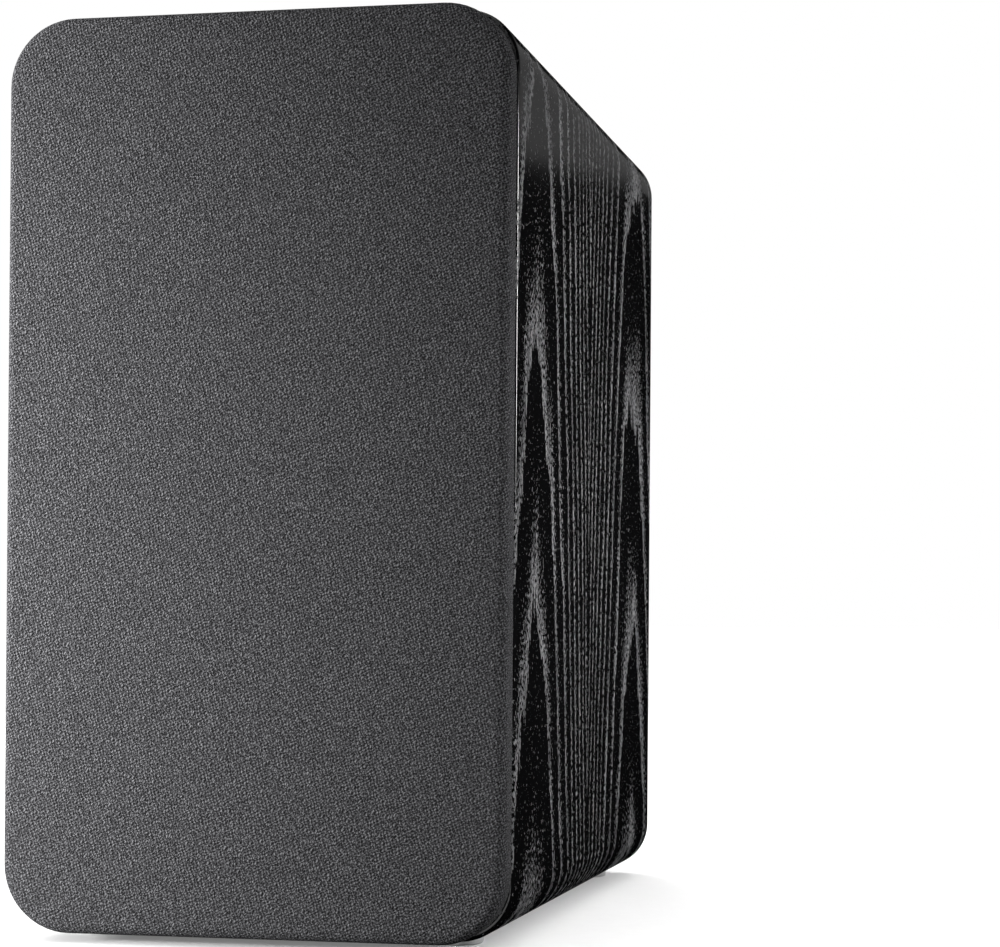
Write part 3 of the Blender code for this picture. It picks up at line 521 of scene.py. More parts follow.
foam = bmesh.new()
depth_steps = 66
outer_rows, inner_rows = [], []
for point, direction in spaced(foam_line, 3.0):
    inward = Vector((direction.y, -direction.x))
    outer, inner = [], []
    for step in range(depth_steps + 1):
        y = low.y + (high.y - low.y) * step / depth_steps
        along = point.x + point.y
        wave = math.sin(math.tau * along / FOAM_WAVE) * math.sin(math.tau * y / FOAM_WAVE)
        thick = FOAM_THICKNESS - 1.8 + 1.7 * wave
        inner_point = point + inward * thick
        inner_point.x = min(max(inner_point.x, low.x + thick), high.x - thick)
        inner_point.y = min(inner_point.y, high.z - thick)
        outer.append(foam.verts.new((point.x, y, point.y)))
        inner.append(foam.verts.new((inner_point.x, y, inner_point.y)))
    outer_rows.append(outer)
    inner_rows.append(inner)
for rows in (outer_rows, inner_rows):
    for row, following in zip(rows, rows[1:]):
        for a, b, c, d in zip(row, row[1:], following[1:], following):
            foam.faces.new((a, b, c, d))
for outer, inner in ((outer_rows[0], inner_rows[0]), (outer_rows[-1], inner_rows[-1])):
    for a, b, c, d in zip(outer, outer[1:], inner[1:], inner):
        foam.faces.new((a, b, c, d))
for edge in (0, -1):
    for outer, inner, outer_next, inner_next in zip(outer_rows, inner_rows, outer_rows[1:], inner_rows[1:]):
        foam.faces.new((outer[edge], inner[edge], inner_next[edge], outer_next[edge]))
foam_finish = moulded("grey_open_cell_foam", (0.075, 0.075, 0.08), 0.95, grain=0.0011, depth=0.0005,
                      mottle=0.5)
lining = add_piece("wavy_foam_lining", foam, foam_finish, "foam_lining", sharp=60)


# ---------------------------------------------------------------- feet
# Four pale grey rubber discs with a soft lower edge, stuck to the underside by their own adhesive
# near the corners. They keep the vinyl off the shelf and stop the cabinet walking. Their grey is
# lightened past the rubber's own tone to stand in for light bounced up from the floor: painted light.

UPRIGHT = Vector((0, 1, 0)).rotation_difference(Vector((0, 0, 1))).to_matrix()


def stood_up(bm, low, high):
    """A part turned at the origin, stood on end on the floor of its box."""
    bmesh.ops.rotate(bm, cent=(0, 0, 0), matrix=UPRIGHT, verts=bm.verts)
    bmesh.ops.translate(bm, vec=((low.x + high.x) / 2, (low.y + high.y) / 2, low.z), verts=bm.verts)
    return bm


# Near white: pale grey rubber, lightened further as painted bounce light from the floor.
foot_rubber_with_painted_bounce = moulded("pale_foot_rubber", (0.80, 0.80, 0.81), 0.75, grain=0.0004, mottle=0.08)
for number in range(1, 5):
    low, high = box_mm(f"foot_{number}")
    radius = (high.x - low.x) / 2
    height = high.z - low.z
    profile = [(0, 0, 0), (0, radius, 0.8), (height, radius, 0.15), (height, 0, 0)]
    foot = stood_up(turned(profile, Vector((0, 0, 0)), 48), low, high)
    add_piece(f"stick_on_foot_{number}", foot, foot_rubber_with_painted_bounce, f"foot_{number}")


# ---------------------------------------------------------------- woofer basket and trim ring
# The basket is one pressing of steel sheet, powder coated black: a flange, four wide windows that
# let the cone breathe, and a flat seat for the motor. A rubber ring over the flange hides its edge.

powder_coat = moulded("black_powder_coat", (0.022, 0.022, 0.023), 0.45, grain=0.0006, depth=0.00008,
                      Metallic=0.3)
profile = [(2.6, 44.6, 0.2), (2.6, 55, 0.5), (4.7, 55, 0.5), (4.7, 46.2, 1.2), (22, 34, 1.5), (24, 31.5, 0.8)]
profile += [(34, 31.5, 0.6), (34, 15, 0.2), (32.6, 15, 0.2), (32.6, 30, 0.4), (25.6, 30, 0.3)]
profile += [(25.6, 27, 0.2), (24.2, 27, 0.2), (24.2, 30.6, 0.2), (22, 32.4, 0.8), (4.2, 44.6, 0.6)]
window = eased([(-19, 8, 4), (19, 8, 4), (19, 21, 4), (-19, 21, 4)])
window_bars = []
for degrees in (45, 135):
    out = Vector((math.cos(math.radians(degrees)), 0, math.sin(math.radians(degrees))))
    across = Vector((-out.z, 0, out.x))
    ends = [[WOOFER + out * reach + across * s + Vector((0, y, 0)) for s, y in window] for reach in (-60, 60)]
    window_bars.append(lofted(ends))
screw_holes = pilot_holes(woofer_screws, BAFFLE_FACE - 2, BAFFLE_FACE + 8)
basket = carved(turned(profile, WOOFER), window_bars + screw_holes)
add_piece("pressed_basket", basket, powder_coat, "woofer_basket")

trim_rubber = moulded("satin_trim_rubber", (0.020, 0.020, 0.021), 0.42, grain=0.0004, depth=0.00002)
profile = [(0, 47.8, 0.4), (0, 49.6, 0.2), (0.4, 50.0, 0.15), (0.4, 53.6, 0.15), (0, 54.0, 0.15)]
profile += [(0, 55, 0.5), (2.3, 55, 0.2), (2.3, 49.4, 0.1), (1.2, 49.4, 0.1), (1.2, 47.8, 0.2)]
screw_holes = pilot_holes(woofer_screws, BAFFLE_FACE - 2, BAFFLE_FACE + 8)
trim = carved(turned(profile, WOOFER, 128), screw_holes)
add_piece("woofer_trim_ring", trim, trim_rubber, "woofer_gasket")


# ---------------------------------------------------------------- woofer cone and suspension
# A pulp cone and a dust cap glued round the top of the voice coil. A half roll of rubber joins the
# cone's edge to the basket, and a corrugated disc of resin-dipped cloth centres the coil.

def smooth_line(points, steps):
    """Points on the Catmull-Rom curve through the given ones."""
    given = [Vector(point) for point in points]
    line = []
    for index in range(len(given) - 1):
        first, last = given[max(index - 1, 0)], given[min(index + 2, len(given) - 1)]
        start, end = given[index], given[index + 1]
        slope_in, slope_out = (end - first) / 2, (last - start) / 2
        for step in range(steps):
            t = step / steps
            cube = (start - end) * 2 + slope_in + slope_out
            square = (end - start) * 3 - slope_in * 2 - slope_out
            line.append(cube * t**3 + square * t**2 + slope_in * t + start)
    return line + [given[-1]]


def skin(front, thickness):
    """A turned profile from its front line of (depth, radius): the same line again behind it."""
    ahead_of = [(depth, radius, 0) for depth, radius in front]
    behind = [(depth + thickness, radius, 0) for depth, radius in reversed(front)]
    return ahead_of + behind


def bend_with_cone(piece):
    """Bakes the piece's placement into its mesh; nothing here ties it to the basket or the cone."""
    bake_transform(piece)


def pulp(name, dark, light, roughness):
    """Pressed paper pulp: matted fibres in every direction."""
    material, tree, shader = new_finish(name)
    place = node(tree, "TexCoord").outputs["Object"]
    fibres = noise(tree, place, (0.0035, 0.001, 0.0006), 4.0, 0.7)
    cross = noise(tree, place, (0.0006, 0.001, 0.0035), 4.0, 0.7)
    felt = maths(tree, "MAXIMUM", fibres, cross)
    wire(tree, shader, ramp(tree, felt, (0.45, dark), (0.75, light)),
         ramp(tree, felt, (0.3, roughness - 0.1), (0.8, roughness + 0.1)), felt, 0.00009)
    return material


cone_line = smooth_line([(2.4, 36.2), (4.8, 31.0), (7.8, 26.0), (11.4, 20.0), (15.6, 14.6), (17.0, 13.3)], 6)
cone = turned(skin(cone_line, 0.9), WOOFER, 128)
black_pulp = pulp("black_pulp", 0.020, 0.060, 0.72)
add_piece("pulp_cone", cone, black_pulp, "woofer_cone", body="woofer_moving_parts", sharp=60)

cap_radius, cap_base, cap_height, cap_steps = 16.3, 13.0, 5.0, 16
cap_line = [(0.0, 0.0)] * (cap_steps + 1)
for step in range(cap_steps + 1):
    share = step / cap_steps
    cap_line[step] = (cap_base - cap_height * (1 - share**2), cap_radius * share)
dust_cap = turned(skin(cap_line, 0.6), WOOFER, 96)
cap_pulp = pulp("lacquered_pulp", 0.020, 0.040, 0.42)
add_piece("lacquered_dust_cap", dust_cap, cap_pulp, "woofer_dust_cap",
          body="woofer_moving_parts", sharp=60)

roll_steps = 28
roll_line = [(1.6, 49.0), (1.6, 47.4)]
for step in range(roll_steps + 1):
    angle = math.pi * step / roll_steps
    roll_line.append((1.6 - 5.0 * math.sin(angle), 41.6 + 5.0 * math.cos(angle)))
surround_rubber = moulded("surround_rubber", (0.014, 0.014, 0.014), 0.48, grain=0.0003, depth=0.00001)
roll = turned(skin(roll_line, 0.7), WOOFER, 128)
surround = add_piece("half_roll_surround", roll, surround_rubber, "woofer_surround",
                     body=None, sharp=60)
bend_with_cone(surround)


def dipped_cloth(name, dark, light, spacing):
    """Plain-woven cloth stiffened with resin."""
    material, tree, shader = new_finish(name)
    place = node(tree, "TexCoord").outputs["Object"]
    apart = node(tree, "SeparateXYZ", {"Vector": place}).outputs
    warp = maths(tree, "SINE", maths(tree, "MULTIPLY", apart["X"], math.tau / spacing))
    weft = maths(tree, "SINE", maths(tree, "MULTIPLY", apart["Z"], math.tau / spacing))
    weave = maths(tree, "MULTIPLY", warp, weft)
    mottled = maths(tree, "ADD", maths(tree, "MULTIPLY", weave, 0.25), noise(tree, place, 0.006, 3.0))
    wire(tree, shader, ramp(tree, mottled, (0.2, dark), (0.8, light)),
         ramp(tree, mottled, (0.2, 0.75), (0.8, 0.6)), weave, spacing / 6)
    return material


spider_steps = 60
spider_line = [(23.2, 30.2), (23.2, 28.4)]
for step in range(spider_steps + 1):
    share = step / spider_steps
    fade = min(1.0, 8 * share, 8 * (1 - share))
    depth = 23.2 - 1.1 * math.sin(math.tau * 4.5 * share) * fade
    spider_line.append((depth, 27.0 + (13.4 - 27.0) * share))
amber_cloth = dipped_cloth("resin_dipped_cloth", (0.34, 0.19, 0.055), (0.62, 0.42, 0.17), 0.0006)
disc = turned(skin(spider_line, 0.6), WOOFER, 96)
spider = add_piece("corrugated_spider", disc, amber_cloth, "woofer_spider", body=None,
                   sharp=60)
bend_with_cone(spider)


# ---------------------------------------------------------------- woofer motor
# A paper former with two layers of copper wire hangs in the gap between the zinc-plated top plate
# and the pole of the yoke. A ring of ferrite, ground flat on both faces, is glued between them.

def drawn_copper(name):
    """Enamelled wire, seen as close turns."""
    material, tree, shader = new_finish(name, Metallic=1.0, Coat_Weight=0.5, Coat_Roughness=0.15)
    place = node(tree, "TexCoord").outputs["Object"]
    depth = node(tree, "SeparateXYZ", {"Vector": place}).outputs["Y"]
    turns = maths(tree, "SINE", maths(tree, "MULTIPLY", depth, math.tau / 0.0003))
    tarnish = noise(tree, place, 0.003, 3.0)
    wire(tree, shader, ramp(tree, tarnish, (0.3, (0.50, 0.19, 0.07)), (0.7, (0.78, 0.36, 0.16))),
         ramp(tree, tarnish, (0.3, 0.22), (0.7, 0.38)), turns, 0.00005)
    return material


def wound(start, end, inner, outer, wire_width):
    """A profile whose outer side is a row of round wires."""
    line = [(end, inner, 0), (start, inner, 0)]
    turns = int((end - start) / wire_width)
    for turn in range(turns):
        for part in range(3):
            angle = math.pi * part / 3
            depth = start + (turn + (1 - math.cos(angle)) / 2) * (end - start) / turns
            line.append((depth, outer - wire_width / 2 * (1 - math.sin(angle)), 0))
    return line + [(end, outer - wire_width / 2, 0)]


copper = drawn_copper("enamelled_copper")
kraft = pulp("kraft_former", (0.33, 0.22, 0.12), (0.55, 0.40, 0.24), 0.7)
former = [(41.6, 12.4, 0), (15.6, 12.4, 0), (15.6, 12.9, 0), (41.6, 12.9, 0)]
coil = turned(former, WOOFER, 96)
winding = turned(wound(31.8, 40.8, 12.95, 13.4, 0.45), WOOFER, 96)
for face in winding.faces:
    face.material_index = 1
winding_mesh = bpy.data.meshes.new("work")
winding.to_mesh(winding_mesh)
winding.free()
coil.from_mesh(winding_mesh)
bpy.data.meshes.remove(winding_mesh)
add_piece("woofer_coil_and_former", coil, [kraft, copper], "woofer_voice_coil",
          body="woofer_moving_parts")


def zinc_plate(name):
    """Turned steel under bright zinc: fine rings from the lathe and a faint yellow passivation."""
    material, tree, shader = new_finish(name, Metallic=1.0)
    place = node(tree, "TexCoord").outputs["Object"]
    cloud = noise(tree, place, 0.008, 4.0)
    scratches = noise(tree, place, (0.004, 0.0002, 0.0002), 2.0)
    wire(tree, shader, ramp(tree, cloud, (0.3, (0.50, 0.47, 0.38)), (0.7, (0.66, 0.65, 0.60))),
         ramp(tree, scratches, (0.3, 0.28), (0.7, 0.45)), scratches, 0.00001)
    return material


zinc = zinc_plate("zinc_plated_steel")
ferrite = moulded("ground_ferrite", (0.045, 0.045, 0.048), 0.5, grain=0.0004, depth=0.00004, mottle=0.3)


def glue_motor(kind, centre, plate_profile, ring_profile, yoke_profile):
    """The front plate, the ferrite ring and the yoke, turned round one line."""
    for part, stands_for, profile, finish, slot in (
        ("front_pole_plate", "top_plate", plate_profile, zinc, "plated_steel"),
        ("ferrite_ring", "magnet", ring_profile, ferrite, "ferrite"),
        ("yoke_and_pole", "yoke", yoke_profile, zinc, "plated_steel"),
    ):
        add_piece(f"{kind}_{part}", turned(profile, centre), finish, f"{kind}_{stands_for}")


motor_y, plate, magnet = 34.3, 4.0, 14.0
magnet_y = motor_y + plate + GAP
yoke_y = magnet_y + magnet + GAP
top_plate = [(motor_y, 14, 0.2), (motor_y, 31, 0.5), (motor_y + plate, 31, 0.5), (motor_y + plate, 14, 0.2)]
ring = [(magnet_y, 18, 0.6), (magnet_y, 34, 1.0), (magnet_y + magnet, 34, 1.0), (magnet_y + magnet, 18, 0.6)]
yoke = [(motor_y, 0, 0), (motor_y, 11.9, 0.5), (yoke_y, 11.9, 0), (yoke_y, 31, 0.5)]
yoke += [(yoke_y + 4.5, 31, 1.2), (yoke_y + 4.5, 0, 0)]
glue_motor("woofer", WOOFER, top_plate, ring, yoke)


# ---------------------------------------------------------------- woofer connections
# A fibre strip riveted to the basket carries two tinned lugs. Braided leads run from under the
# cone, out through a window in the basket, to the lugs, with slack for the cone's travel.

def slab(corners, start, end, edge=0.2):
    """A flat plate from (x, z, rounding) corners, with its long edges just taken off."""
    line = eased(corners, 3)
    centre = sum(line, Vector((0, 0))) / len(line)
    loops = []
    for depth, inset in ((start, edge), (start + edge, 0), (end - edge, 0), (end, edge)):
        size = max((point - centre).length for point in line)
        shrunk = [centre + (point - centre) * (1 - inset / size) for point in line]
        loops.append([(x, depth, z) for x, z in shrunk])
    return lofted(loops)


def merged(parts):
    """One bmesh from several (bmesh, number of its finish) pairs."""
    whole = bmesh.new()
    for part, finish_number in parts:
        for face in part.faces:
            face.material_index = finish_number
        mesh = bpy.data.meshes.new("work")
        part.to_mesh(mesh)
        part.free()
        whole.from_mesh(mesh)
        bpy.data.meshes.remove(mesh)
    return whole


def tube(points, radius, sides=12, steps=6, waves=0.0):
    """A wire along a smooth line through the points. Waves make it bulge like a plait."""
    line = smooth_line(points, steps)
    side = None
    loops = []
    for index, here in enumerate(line):
        ahead_of = (line[min(index + 1, len(line) - 1)] - line[max(index - 1, 0)]).normalized()
        side = ahead_of.orthogonal() if side is None else side - ahead_of * side.dot(ahead_of)
        side.normalize()
        other = ahead_of.cross(side)
        thick = radius * (1 - waves * (index % 2))
        angles = [math.tau * step / sides for step in range(sides)]
        loops.append([here + (side * math.cos(a) + other * math.sin(a)) * thick for a in angles])
    return lofted(loops)


brass = moulded("tinned_brass", (0.74, 0.60, 0.34), 0.32, grain=0.0008, depth=0.00001, mottle=0.15,
                Metallic=1.0)
fibre = moulded("vulcanised_fibre", (0.16, 0.07, 0.035), 0.6, grain=0.0005, mottle=0.3)
low, high = box_mm("woofer_terminal_strip")
board_top = low.z + 1.3
strip = slab([(-8, low.z, 0.3), (8, low.z, 0.3), (8, board_top, 0.3), (-8, board_top, 0.3)], low.y, high.y)
lugs = [(strip, 0)]
for x in (-5.0, 5.0):
    lug = slab([(x - 1.5, board_top - 0.4, 0), (x + 1.5, board_top - 0.4, 0),
                (x + 1.5, high.z, 1.2), (x - 1.5, high.z, 1.2)], low.y + 0.6, high.y - 0.6)
    lugs.append((lug, 1))
add_piece("woofer_lug_strip", merged(lugs), [fibre, brass], "woofer_terminal_strip")

braid = moulded("braided_copper", (0.70, 0.40, 0.22), 0.4, grain=0.0002, depth=0.00015, mottle=0.35,
                Metallic=1.0)
lead_line = [(8.0, 12.6, 21.0), (10.0, 16.0, 27.0), (13.0, 18.5, 35.0), (14.0, 21.5, 42.0)]
lead_line += [(12.0, 27.0, 43.0), (7.5, 30.5, 40.5), (5.3, 30.5, 38.6)]
for number, side in enumerate((-1, 1), 1):
    route = [WOOFER + Vector((side * x, y, z)) for x, y, z in lead_line]
    plait = tube(route, 0.6, 10, 16, 0.12)
    lead = add_piece(f"woofer_braid_{number}", plait, braid, f"tinsel_lead_{number}",
                     body=None, sharp=60)
    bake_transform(lead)


# ---------------------------------------------------------------- screws
# Pan-head chipboard screws with a cross recess and a black oxide finish: four for the woofer,
# three for the tweeter, and four for the terminal cup.

black_oxide = moulded("black_oxide", (0.030, 0.030, 0.032), 0.34, grain=0.0003, depth=0.00002, Metallic=0.8)


def thread(start, length, pitch, root, crest):
    """A turned profile's steps over a thread, as many whole turns as the length takes."""
    starts = [start + turn * pitch for turn in range(int(length / pitch))]
    return [step for depth in starts for step in ((depth, root, 0), (depth + pitch / 2, crest, 0))]


def screw_mesh(length, toward):
    """A screw along Y at the origin, its head on the side given by toward."""
    head = [(-1.7, 0, 0), (-1.7, 2.5, 0.8), (-0.7, 3.1, 0.3), (-GAP, 3.1, 0.1), (-GAP, 1.5, 0)]
    tip = [(length - 1.8, 1.2, 0), (length, 0, 0)]
    body = turned(head + thread(0.6, length - 3, 1.2, 1.2, 1.6) + tip, Vector((0, 0, 0)), 32, 3)
    arms = []
    for half_x, half_z in ((1.55, 0.32), (0.32, 1.55)):
        mouth = [(-half_x, -half_z), (half_x, -half_z), (half_x, half_z), (-half_x, half_z)]
        floor_line = [(x * 0.45, z * 0.45) for x, z in mouth]
        arms.append(lofted([at_depth(mouth, -2.2), at_depth(mouth, -1.7), at_depth(floor_line, -0.5)]))
    solid = carved(body, arms)
    bmesh.ops.scale(solid, vec=(1, toward, 1), verts=solid.verts)
    return solid


def drive_screws(kind, places, y, length, toward=1):
    for number, (x, z) in enumerate(places, 1):
        made = screw_mesh(length, toward)
        turn = Matrix.Rotation(math.radians(23 + 67 * number), 3, "Y")
        bmesh.ops.rotate(made, cent=(0, 0, 0), matrix=turn, verts=made.verts)
        bmesh.ops.translate(made, vec=(x, y, z), verts=made.verts)
        add_piece(f"{kind}_pan_head_{number}", made, black_oxide, f"{kind}_screw_{number}")


drive_screws("woofer", woofer_screws, BAFFLE_FACE, 14.0)
drive_screws("tweeter", tweeter_screws, BAFFLE_FACE, 13.0)


# ---------------------------------------------------------------- tweeter
# A moulded faceplate with a shallow horn round a dome of coated silk. The dome, its small half
# roll and its clamped rim are one pressing, with the voice coil glued inside. The motor is closed
# by a turned yoke.

fine_plastic = moulded("satin_faceplate", (0.020, 0.020, 0.021), 0.38, grain=0.0004, depth=0.00003)
profile = [(0, 34, 0.5), (0, 25, 2.0), (1.2, 19, 3.0), (3.0, 14.6, 0.4), (4.2, 14.6, 0), (4.2, 26, 0)]
profile += [(3.3, 26, 0), (3.3, 34, 0.2)]
screw_holes = pilot_holes(tweeter_screws, BAFFLE_FACE - 2, BAFFLE_FACE + 6)
faceplate = carved(turned(profile, TWEETER, 128, 6), screw_holes)
add_piece("tweeter_horn_plate", faceplate, fine_plastic, "tweeter_faceplate")

silk_line = [(0.6, 0.0), (0.68, 2.2), (0.9, 5.0), (1.7, 8.6), (3.0, 11.2), (4.5, 12.5)]
dome_line = smooth_line(silk_line, 4) + smooth_line([(4.5, 12.55), (3.8, 13.4), (4.5, 14.2)], 4)
dome_line += [Vector((4.5, 18.0))]
silk = dipped_cloth("coated_silk", (0.012, 0.012, 0.014), (0.032, 0.032, 0.035), 0.00045)
dome = turned(skin([tuple(point) for point in dome_line], 0.45), TWEETER)
add_piece("silk_dome", dome, silk, "tweeter_diaphragm", body="tweeter_moving_parts", sharp=60)

coil = turned(wound(5.4, 9.4, 11.8, 12.5, 0.3), TWEETER)
add_piece("tweeter_winding", coil, copper, "tweeter_voice_coil", body="tweeter_moving_parts")
top_plate = [(5.3, 13.1, 0.2), (5.3, 25.5, 0.4), (8.3, 25.5, 0.4), (8.3, 13.1, 0.2)]
ring = [(8.6, 15, 0.5), (8.6, 25.5, 0.8), (16.6, 25.5, 0.8), (16.6, 15, 0.5)]
yoke = [(5.6, 0, 0), (5.6, 11.2, 0.4), (16.9, 11.2, 0), (16.9, 25.5, 0.3), (20, 25.5, 1.0), (20, 0, 0)]
glue_motor("tweeter", TWEETER, top_plate, ring, yoke)


# ---------------------------------------------------------------- port
# A moulded tube that tunes the box. Its mouth flares into a flange that is pushed into the back
# board from outside and held by glue.

port_plastic = moulded("port_plastic", (0.017, 0.017, 0.018), 0.42, grain=0.0005, depth=0.00004)
low, high = box_mm("port_tube")
port_end = low.y - BACK_FACE
throat = smooth_line([(1.9, PORT_MOUTH), (-1.5, 20.4), (-6.0, 17.8), (-12.0, PORT_BORE)], 5)
profile = [(GAP, PORT_FLANGE, 0), (2.0, PORT_FLANGE - 0.6, 0.5), (2.3, PORT_MOUTH + 0.6, 0.3)]
profile += [(depth, radius, 0) for depth, radius in throat]
profile += [(port_end, PORT_BORE, 0.5), (port_end, PORT_BORE + 2, 0.5), (-8, PORT_BORE + 2, 0)]
profile += [(GAP, PORT_NECK, 0)]
port = turned(profile, Vector((0, BACK_FACE, PORT.z)), 96, 3)
add_piece("flared_port", port, port_plastic, "port_tube")


# ---------------------------------------------------------------- terminal cup
# A moulded dish, screwed over its hole in the back board. Its flange is flat with a soft edge, and
# its floor has a hole for each binding post.

cup_plastic = moulded("cup_plastic", (0.020, 0.020, 0.021), 0.46, grain=0.0005, depth=0.00005)
cup_low, cup_high = box_mm("terminal_cup")
CUP_FACE = cup_high.y
CUP_BACK = cup_low.y
CUP_FLOOR = CUP_BACK + 2.4
POST_X = 9.5
STUD_HOLE = 2.3


def cup_line(grow, radius):
    return plate_line((CUP_OPENING[0] + 2 * grow, CUP_OPENING[1] + 2 * grow), radius, CUP)


flange_back = BACK_FACE + GAP
inner_lines = [(-1.9, 3.1, 0.0), (-1.25, 3.75, 0.25), (-1.0, 4.0, 0.9)]
loops = [at_depth(cup_line(grow, radius), CUP_FLOOR + up) for grow, radius, up in inner_lines]
loops += [at_depth(cup_line(-0.05, 5.0), CUP_FACE - 0.8), at_depth(cup_line(0.25, 5.2), CUP_FACE - 0.2)]
loops += [at_depth(cup_line(0.8, 5.8), CUP_FACE)]
for inset, down_by in ((0.8, 0.0), (0.25, 0.2), (0.0, 0.8)):
    flange = plate_line((CUP_FLANGE[0] - 2 * inset, CUP_FLANGE[1] - 2 * inset), 6.0 - inset, CUP)
    loops.append(at_depth(flange, CUP_FACE - down_by))
loops.append(at_depth(plate_line(CUP_FLANGE, 6.0, CUP), flange_back))
loops.append(at_depth(cup_line(2.2, 6.0), flange_back))
loops.append(at_depth(cup_line(1.2, 5.0), CUP_BACK))
holes = [bar(CUP.x + side * POST_X, CUP.z, STUD_HOLE, CUP_BACK - 1, CUP_FLOOR + 1, 32) for side in (-1, 1)]
holes += pilot_holes(cup_screws, flange_back - 1, CUP_FACE + 1)
cup = carved(lofted(loops), holes)
add_piece("dished_terminal_cup", cup, cup_plastic, "terminal_cup")
drive_screws("terminal", cup_screws, CUP_FACE, 12.0, -1)


# ---------------------------------------------------------------- binding posts
# Two gilt studs with collars, red on the right and black on the left. A washer and a fluted knob
# run on each stud's thread and clamp a bared wire. A hex nut behind the board pulls it all tight.

COLLAR_TOP = 4.0
gilt = moulded("gilt_brass", (0.83, 0.62, 0.27), 0.24, grain=0.0008, depth=0.00001, mottle=0.1, Metallic=1.0)
knob_plastics = []
for colour, shade in (("black", (0.018, 0.018, 0.018)), ("red", (0.50, 0.012, 0.012))):
    knob_plastics.append(moulded(f"{colour}_knob_plastic", shade, 0.28, grain=0.0006, depth=0.00002,
                                 Coat_Weight=0.3))


def fluted_knob(centre, bore, flutes=18):
    """A knob whose sides are a row of shallow flutes, closed at its outer end."""
    rows = [(17.5, 0.0, 0), (17.5, bore, 0), (5.8, bore, 0), (5.8, 5.2, 0), (6.1, 5.6, 0), (7.4, 5.6, 0)]
    rows += [(7.7, 6.4, 0), (8.1, 6.8, 1), (17.6, 6.8, 1), (18.5, 6.5, 0.6), (19.0, 5.9, 0), (19.0, 3.6, 0)]
    rows += [(18.7, 3.2, 0), (18.7, 0.0, 0)]
    sides = flutes * 8
    loops = []
    for depth, radius, fluting in rows:
        loop = []
        for side in range(sides if radius else 1):
            angle = math.tau * side / sides
            cut = 0.45 * fluting * (0.5 + 0.5 * math.cos(angle * flutes))
            loop.append(spoke(centre, radius - cut, depth, angle))
        loops.append(loop)
    return lofted(loops)


def hex_nut(centre, inner, across_corners, start, end):
    """A nut with its corners turned down at both faces."""
    angles = [math.tau * step / 48 for step in range(48)]
    loops = []
    for depth, reach in ((start, 0.9), (start + 0.35, 1.0), (end - 0.35, 1.0), (end, 0.9)):
        loop = []
        for angle in angles:
            off_flat = math.remainder(angle, math.tau / 6)
            flat = across_corners * math.cos(math.pi / 6) / math.cos(off_flat)
            loop.append(spoke(centre, min(flat, across_corners * reach), depth, angle))
        loops.append(loop)
    loops += [[spoke(centre, inner, depth, angle) for angle in angles] for depth in (end, start)]
    return lofted(loops, ring=True)


for colour, side, plastic in zip(("black", "red"), (-1, 1), knob_plastics):
    seat = Vector((CUP.x + side * POST_X, CUP_FLOOR, CUP.z))
    post_low, post_high = box_mm(f"{colour}_post")
    tail, tip = post_low.y - CUP_FLOOR, post_high.y - CUP_FLOOR
    profile = [(tail, 0, 0), (tail, 1.6, 0)] + thread(tail + 0.4, GAP - tail - 0.6, 0.8, 1.75, 2.0)
    profile += [(GAP, 1.8, 0), (GAP, 5.5, 0.3), (COLLAR_TOP, 5.5, 0.4), (COLLAR_TOP, 1.8, 0)]
    profile += thread(COLLAR_TOP + 0.4, tip - COLLAR_TOP - 0.8, 0.8, 1.75, 2.0)
    profile += [(tip, 1.5, 0), (tip, 0, 0)]
    add_piece(f"{colour}_stud", turned(profile, seat, 48, 3), gilt, f"{colour}_post")
    washer = [(4.3, STUD_HOLE, 0.15), (4.3, 4.8, 0.25), (5.3, 4.8, 0.25), (5.3, STUD_HOLE, 0.15)]
    add_piece(f"{colour}_clamp_washer", turned(washer, seat, 64, 2), gilt, f"{colour}_washer",
              body=f"{colour}_clamp")
    add_piece(f"{colour}_fluted_knob", fluted_knob(seat, STUD_HOLE), plastic, f"{colour}_knob",
              body=f"{colour}_screw_knob", sharp=30)
    nut_low, nut_high = box_mm(f"{colour}_nut")
    nut_centre = Vector((seat.x, 0, seat.z))
    nut = hex_nut(nut_centre, STUD_HOLE, 4.1, nut_low.y, nut_high.y)
    add_piece(f"{colour}_hex_nut", nut, gilt, f"{colour}_nut")


# ---------------------------------------------------------------- filter board
# A printed board held by the nuts behind the cup. It carries an air-cored coil for the woofer, a
# capacitor in a shrink sleeve and a cement resistor for the tweeter.

def solder_mask():
    """Green lacquer over copper tracks."""
    material, tree, shader = new_finish("green_solder_mask", Coat_Weight=0.4, Coat_Roughness=0.2)
    place = node(tree, "TexCoord").outputs["Object"]
    inputs = {"Vector": place, "Scale": 260.0, "Randomness": 0.25}
    cells = node(tree, "TexVoronoi", inputs, distance="CHEBYCHEV", feature="F1").outputs["Distance"]
    tracks = rise(tree, cells, 0.38, 0.42)
    wire(tree, shader, ramp(tree, tracks, (0.0, (0.03, 0.13, 0.045)), (1.0, (0.05, 0.20, 0.07))),
         ramp(tree, tracks, (0.0, 0.5), (1.0, 0.35)), tracks, 0.00004)
    return material


low, high = box_mm("crossover_board")
half_x, half_z = (high.x - low.x) / 2, (high.z - low.z) / 2
corners = [(CUP.x - half_x, CUP.z - half_z, 2), (CUP.x + half_x, CUP.z - half_z, 2),
           (CUP.x + half_x, CUP.z + half_z, 2), (CUP.x - half_x, CUP.z + half_z, 2)]
holes = [bar(CUP.x + side * POST_X, CUP.z, STUD_HOLE, low.y - 1, high.y + 1, 32) for side in (-1, 1)]
board = carved(slab(corners, low.y, high.y, 0.1), holes)
add_piece("filter_board", board, solder_mask(), "crossover_board")

